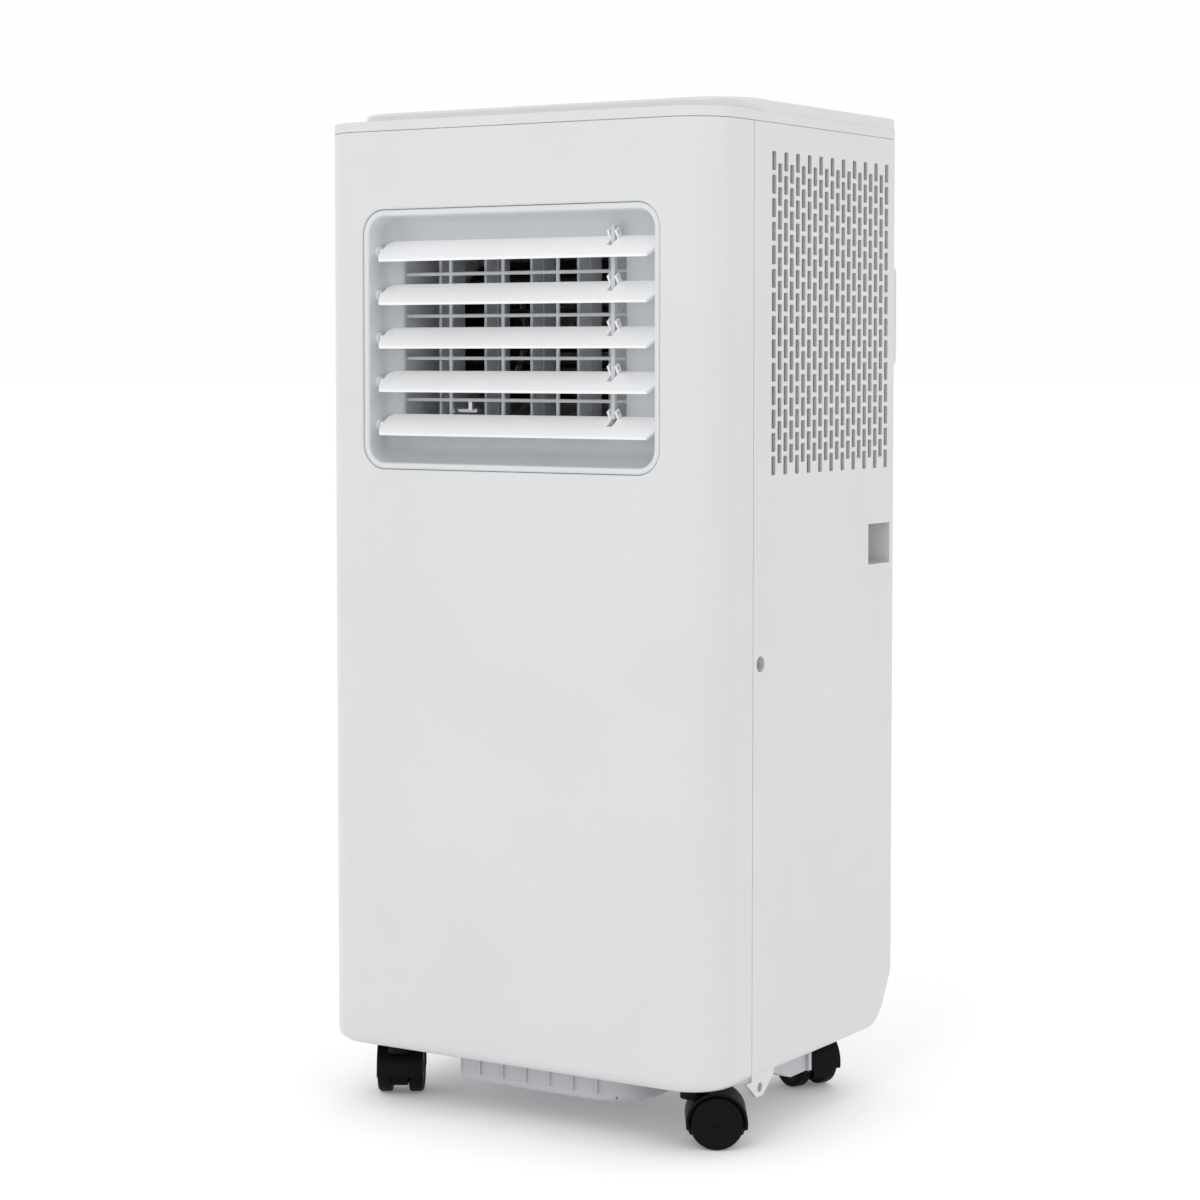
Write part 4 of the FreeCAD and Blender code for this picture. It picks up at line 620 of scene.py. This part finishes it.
def dustScreen(side, sizes):
    # x = depth + pleat * cos(2 pi pleats u) over u along the depth and v up, faded out at the edges
    low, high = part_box(("right" if side > 0 else "left") + "_intake_grille")
    outer = high.x if side > 0 else low.x
    u, v = np.meshgrid(np.linspace(0, 1, 8 * sizes["pleats"] + 1), np.linspace(0, 1, 25), indexing="ij")
    fade = np.sin(np.pi * u) ** 0.3 * np.sin(np.pi * v) ** 0.3
    wave = sizes["pleat"] * np.cos(2 * np.pi * sizes["pleats"] * u) * fade
    x = outer - side * (sizes["back"] + wave)
    y = low.y + sizes["margin"] + u * (high.y - low.y - 2 * sizes["margin"])
    z = low.z + sizes["margin"] + v * (high.z - low.z - 2 * sizes["margin"])
    points = np.stack([x, y, z], -1).reshape(-1, 3)
    sheet = facing((points, gridFaces(*u.shape)), 0, (side, 0, 0))
    name = "right_dust_screen" if side > 0 else "left_dust_screen"
    # filter_grey's near-black colour paints the shade inside the slots over the screen's own grey
    return piece(name, [sheet], "cabinet", "filter_grey", wall=sizes["thick"], recalculate=False)


for side in (1, -1):
    dustScreen(side, screenSizes)
print("dust screens made")


# Rear housing: the CAD shell with its edges eased, but not round the windows that the grilles fill.

def besideGrille(edge):
    low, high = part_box("right_intake_grille")
    middle = (edge.verts[0].co + edge.verts[1].co) / 2
    wide = low.y - 1 * mm < middle.y < high.y + 1 * mm
    tall = low.z - 1 * mm < middle.z < high.z + 1 * mm
    return wide and tall and abs(middle.x) > high.x - 8 * mm


softened(["rear_housing"], 0.35 * mm, "rear_shell", skip=besideGrille)
print("rear shell made")


# Top cover: the ledge's outline and the raised lid's outline joined by rings from the seam upwards.

lidSizes = {"corner": 33 * mm, "rear": 6 * mm, "raisedCorner": 39 * mm, "setback": 33 * mm, "step": 0.6 * mm,
            "ledgeRise": 6.6 * mm, "ledgeEdge": 0.55 * mm, "edge": 2.6 * mm, "seamRoll": 0.35 * mm,
            "wall": 2.2 * mm, "tongueInset": 0.9 * mm, "tongue": 0.37 * mm,
            "panelFit": 0.1 * mm, "panelCorner": 1 * mm, "panelEdge": 0.4 * mm}


def topCover(sizes):
    low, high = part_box("top_cover")
    panelLow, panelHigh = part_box("control_panel")
    half, near, far = high.x, low.y, high.y
    ledgeTop = low.z + sizes["ledgeRise"]

    def ledge(inset, z):
        return atHeight(planLoop(half - inset, near + inset, far - inset, sizes["corner"] - inset,
                                 sizes["rear"] - inset), z)

    def raised(inset, z):
        inset += sizes["step"]
        return atHeight(planLoop(half - inset, near + sizes["setback"] + inset - sizes["step"], far - inset,
                                 sizes["raisedCorner"] - inset, max(sizes["rear"] - inset, 1 * mm)), z)

    rollInset, rollDrop = roll(sizes["seamRoll"])
    tongueLow = low.z - sizes["tongue"]
    rings = [ledge(sizes["wall"], tongueLow), ledge(sizes["tongueInset"], tongueLow),
             ledge(sizes["tongueInset"], low.z)]
    rings += [ledge(i, low.z + d) for i, d in zip(rollInset[::-1], rollDrop[::-1])]
    ledgeInset, ledgeDrop = roll(sizes["ledgeEdge"])
    rings += [ledge(i, ledgeTop - d) for i, d in zip(ledgeInset, ledgeDrop)]
    rings += [raised(0.0, ledgeTop + 0.02 * mm), raised(0.0, ledgeTop + 1 * mm)]
    topInset, topDrop = roll(sizes["edge"], 7)
    rings += [raised(i, high.z - d) for i, d in zip(topInset, topDrop)]
    steps = len(rings[0]) // 4

    def mouth(grow, z):
        reach = sizes["panelFit"] + grow
        loop = roundedLoop((panelLow.x - reach, panelLow.y - reach), (panelHigh.x + reach, panelHigh.y + reach),
                           sizes["panelCorner"] + grow, steps)
        return atHeight(loop, z)

    rings += [mouth(sizes["panelEdge"], high.z), mouth(0.0, high.z - 0.3 * mm), mouth(0.0, high.z - 2.3 * mm)]
    skin = facing(loft(rings), (len(rings) - 4) * len(rings[0]) + 3, (0, 0, 1))
    return piece("top_lid", [skin], "cabinet", "white_housing", ["top_cover"])


topCover(lidSizes)
softened(["control_panel"], 0.3 * mm)
softened(["display_window"], 0.15 * mm)
print("top made")


# Buttons: a dished cap turned about the upright axis.

buttonProfile = np.array([(0.0, 0.0), (0.0, 8.8), (0.2, 9.0), (1.0, 9.0), (1.2, 8.8), (1.2, 7.5), (5.6, 7.5),
                          (5.95, 7.38), (6.25, 7.1), (6.4, 6.7), (6.38, 6.2), (6.2, 5.0), (6.0, 3.0),
                          (5.92, 0.0)]) * mm
for label in ("power", "mode", "warmer", "cooler", "speed"):
    node = label + "_button"
    low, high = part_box(node)
    centre = ((low.x + high.x) / 2, (low.y + high.y) / 2, low.z)
    piece(node + "_cap", [lathe(buttonProfile, centre, (0, 0, 1), closed=False)], node, "button_grey", [node])
print("buttons made")


# Outlet: rings from the side of the rim over its crown, down the recess, round into the duct.

outletSizes = {"rimCorner": 16.8 * mm, "recess": 26 * mm, "fillet": 10 * mm,
               "ductRoll": 2 * mm, "ductCorner": 3 * mm,
               "ductLeft": -102 * mm, "ductRight": 77 * mm, "ductLow": 470 * mm, "ductHigh": 598 * mm}
# (inset from the outline, depth behind the front) over the rim and down the recess wall, in millimetres
rimProfile = np.array([(0.0, 6.0), (0.0, 2.3), (0.15, 1.75), (0.55, 1.4), (1.3, 1.25), (2.6, 1.2),
                       (3.4, 1.35), (3.95, 1.8), (4.25, 2.6), (4.45, 4.0), (4.9, 11.0)]) * mm

# (along, radius) of the bush round a louver's pivot: a ring with a raised lip on the recess wall
bushProfile = np.array([(-2.0, 2.05), (-2.0, 4.4), (0.9, 4.2), (1.5, 3.8), (1.7, 3.2), (1.7, 2.05)]) * mm


def outletBowl(sizes):
    low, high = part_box("outlet_frame")
    front = low.y

    def ring(inset, depth):
        return atDepth(roundedLoop((low.x + inset, low.z + inset), (high.x - inset, high.z - inset),
                                   max(sizes["rimCorner"] - inset, 4 * mm)), front + depth)

    rings = [ring(inset, depth) for inset, depth in rimProfile]
    turn = np.linspace(0, quarter, 9)
    start = 5.2 * mm + sizes["fillet"]
    for angle in turn:
        rings.append(ring(start - sizes["fillet"] * np.cos(angle),
                          sizes["recess"] - sizes["fillet"] * (1 - np.sin(angle))))
    for angle in np.linspace(0, quarter, 5):
        grow = sizes["ductRoll"] * (1 - np.sin(angle))
        depth = sizes["recess"] + sizes["ductRoll"] * (1 - np.cos(angle))
        loop = roundedLoop((sizes["ductLeft"] - grow, sizes["ductLow"] - grow),
                           (sizes["ductRight"] + grow, sizes["ductHigh"] + grow), sizes["ductCorner"] + grow)
        rings.append(atDepth(loop, front + depth))
    rings.append(atDepth(roundedLoop((sizes["ductLeft"], sizes["ductLow"]),
                                     (sizes["ductRight"], sizes["ductHigh"]), sizes["ductCorner"]), high.y))
    bowl = facing(loft(rings), len(rings[0]) * 4 + 4, (0, -1, 0))
    patches = [bowl]
    for k in range(1, 6):
        pivot = joints["louver_%d_tilt" % k]["pos_m"]
        for side in (1, -1):
            wallX = side * (high.x - 5.0 * mm)
            patches.append(lathe(bushProfile, (wallX, pivot[1], pivot[2]), (-side, 0, 0), 28))
    return piece("outlet_bowl", patches, "cabinet", "outlet_white", ["outlet_frame"], recalculate=False)


outletBowl(outletSizes)


# Foam pad on the plate that closes the duct's right end: a slab with a pillowed face.

padSizes = {"left": 42 * mm, "right": 76.8 * mm, "back": 62.4 * mm, "low": 470.2 * mm, "high": 597.8 * mm,
            "thick": 0.8 * mm, "swell": 0.25 * mm}


def ductPad(sizes):
    # y = back - thick - swell * (sin(pi u) sin(pi v))^0.4 over u across and v up; the back face is flat
    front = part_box("outlet_frame")[0].y
    u, v = np.meshgrid(np.linspace(0, 1, 15), np.linspace(0, 1, 41), indexing="ij")
    x = sizes["left"] + u * (sizes["right"] - sizes["left"])
    z = sizes["low"] + v * (sizes["high"] - sizes["low"])
    swell = sizes["swell"] * (np.abs(np.sin(np.pi * u) * np.sin(np.pi * v))) ** 0.4
    y = front + sizes["back"] - sizes["thick"] - swell
    face = facing((np.stack([x, y, z], -1).reshape(-1, 3), gridFaces(*u.shape)), 0, (0, -1, 0))
    return piece("duct_end_pad", [face], "cabinet", "foam_grey", wall=sizes["thick"] * 0.9, recalculate=False)


ductPad(padSizes)
for k in range(1, 6):
    softened(["louver_%d" % k], 0.7 * mm, segments=3)
softened(["louver_link_rod"], 0.4 * mm)
softened(["safety_grille"], 0.7 * mm)
for k in range(1, 5):
    softened(["vane_%d" % k], 0.6 * mm, segments=3)
softened(["vane_link_bar"], 0.3 * mm)
softened(["thermistor"], 0.9 * mm, segments=3)
print("outlet made")


# Casters: each wheel is turned about its own axle, with a rounded tread and a dished hub.

wheelProfile = np.array([(-5.15, 2.55), (-5.15, 16.6), (-4.7, 17.5), (-3.8, 18.0), (2.6, 18.0), (4.0, 17.5),
                         (4.9, 16.5), (5.15, 15.2), (5.1, 14.4), (4.5, 13.9), (4.1, 12.8), (4.0, 7.0),
                         (4.3, 5.4), (4.9, 4.6),
                         (4.9, 3.1), (4.5, 2.55)]) * mm
for place in ("front_right", "front_left", "rear_right", "rear_left"):
    for letter in "ab":
        node = "%s_caster_wheel_%s" % (place, letter)
        joint = joints["%s_wheel_%s_roll" % (place, letter)]
        low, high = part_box(node)
        centre = (np.array(low) + np.array(high)) / 2
        axis = np.array(joint["axis"], float)
        if np.dot(centre - np.array(joint["pos_m"]), axis) < 0:
            axis = -axis
        piece(node + "_turned", [lathe(wheelProfile, centre, axis, 72)], "%s_wheel_%s" % (place, letter),
              "wheel_black", [node])
    softened(["%s_caster_hood" % place], 0.5 * mm)
print("casters made")


# The rest of what shows keeps its CAD form with eased edges.

eased = {"base_pan": 0.5, "grip_cups": 1.2, "cord_hooks": 1.2, "cord_gland": 0.5, "drain_plug": 0.5,
         "exhaust_collar": 0.8, "housing_screws": 0.35}
for node, radius in eased.items():
    softened([node], radius * mm)
print("fittings made")


# Floor, world, lights and camera.

studio = {"floorReach": 60.0, "floorColour": (0.90, 0.90, 0.90), "floorGlow": 0.11, "world": 1.0,
          "camera": (1.078, -1.7335, 0.5228), "turn": 32.17, "down": 3.0, "lens": 87.0, "shift": -0.0775}


def studioFloor(reach, colour):
    # rings from the middle outwards, flat
    turn = np.linspace(0, 2 * np.pi, 64, endpoint=False)
    radii = np.array([0.02, 0.5, 2.0, 10.0, reach])
    rings = radii[:, None, None] * np.stack([np.cos(turn), np.sin(turn), 0 * turn], -1)[None]
    points, faces = loft(rings)
    faces.append(list(range(64)))
    mesh = bpy.data.meshes.new("studio_floor")
    mesh.from_pydata(points.tolist(), [], faces)
    floor = bpy.data.objects.new("studio_floor", mesh)
    bpy.context.scene.collection.objects.link(floor)
    paint = Paint("studio_floor", Emission_Color=(1, 1, 1, 1), Emission_Strength=studio["floorGlow"])
    cloud = paint.noise(1.5, 3.0)
    paint.feed("Base Color", paint.mix(cloud, shaded(colour, 0.995), shaded(colour, 1.005)))
    paint.feed("Roughness", 0.75 + cloud * 0.1)
    mesh.materials.append(paint.material)


def softLight(name, place, target, size, power, colour=(1, 1, 1)):
    lamp = bpy.data.lights.new(name, "AREA")
    lamp.shape = "RECTANGLE"
    lamp.size, lamp.size_y = size
    lamp.energy = power
    lamp.color = colour
    holder = bpy.data.objects.new(name, lamp)
    holder.location = place
    holder.rotation_euler = (Vector(target) - Vector(place)).to_track_quat("-Z", "Y").to_euler()
    bpy.context.scene.collection.objects.link(holder)


studioFloor(studio["floorReach"], studio["floorColour"])
scene = bpy.context.scene
world = bpy.data.worlds.new("studio")
scene.world = world
world.use_nodes = True
world.node_tree.nodes["Background"].inputs["Color"].default_value = (0.99, 0.995, 1.0, 1)
world.node_tree.nodes["Background"].inputs["Strength"].default_value = studio["world"]
softLight("key", (0.1, -1.7, 1.75), (0, -0.13, 0.60), (1.3, 0.8), 8.5)
softLight("side", (2.6, 0.1, 1.5), (0, 0, 0.5), (1.4, 1.4), 3.5)
softLight("rear", (-0.6, 2.6, 1.8), (0, 0, 0.4), (1.6, 1.4), 4)

turn, down = math.radians(studio["turn"]), math.radians(studio["down"])
forward = Vector((-math.sin(turn) * math.cos(down), math.cos(turn) * math.cos(down), -math.sin(down)))
cameraData = bpy.data.cameras.new("camera")
cameraData.lens = studio["lens"]
cameraData.sensor_width = 36
cameraData.shift_y = studio["shift"]
camera = bpy.data.objects.new("camera", cameraData)
camera.location = studio["camera"]
camera.rotation_euler = forward.to_track_quat("-Z", "Y").to_euler()
scene.collection.objects.link(camera)
scene.camera = camera
scene.view_settings.view_transform = "Standard"
print("studio set")
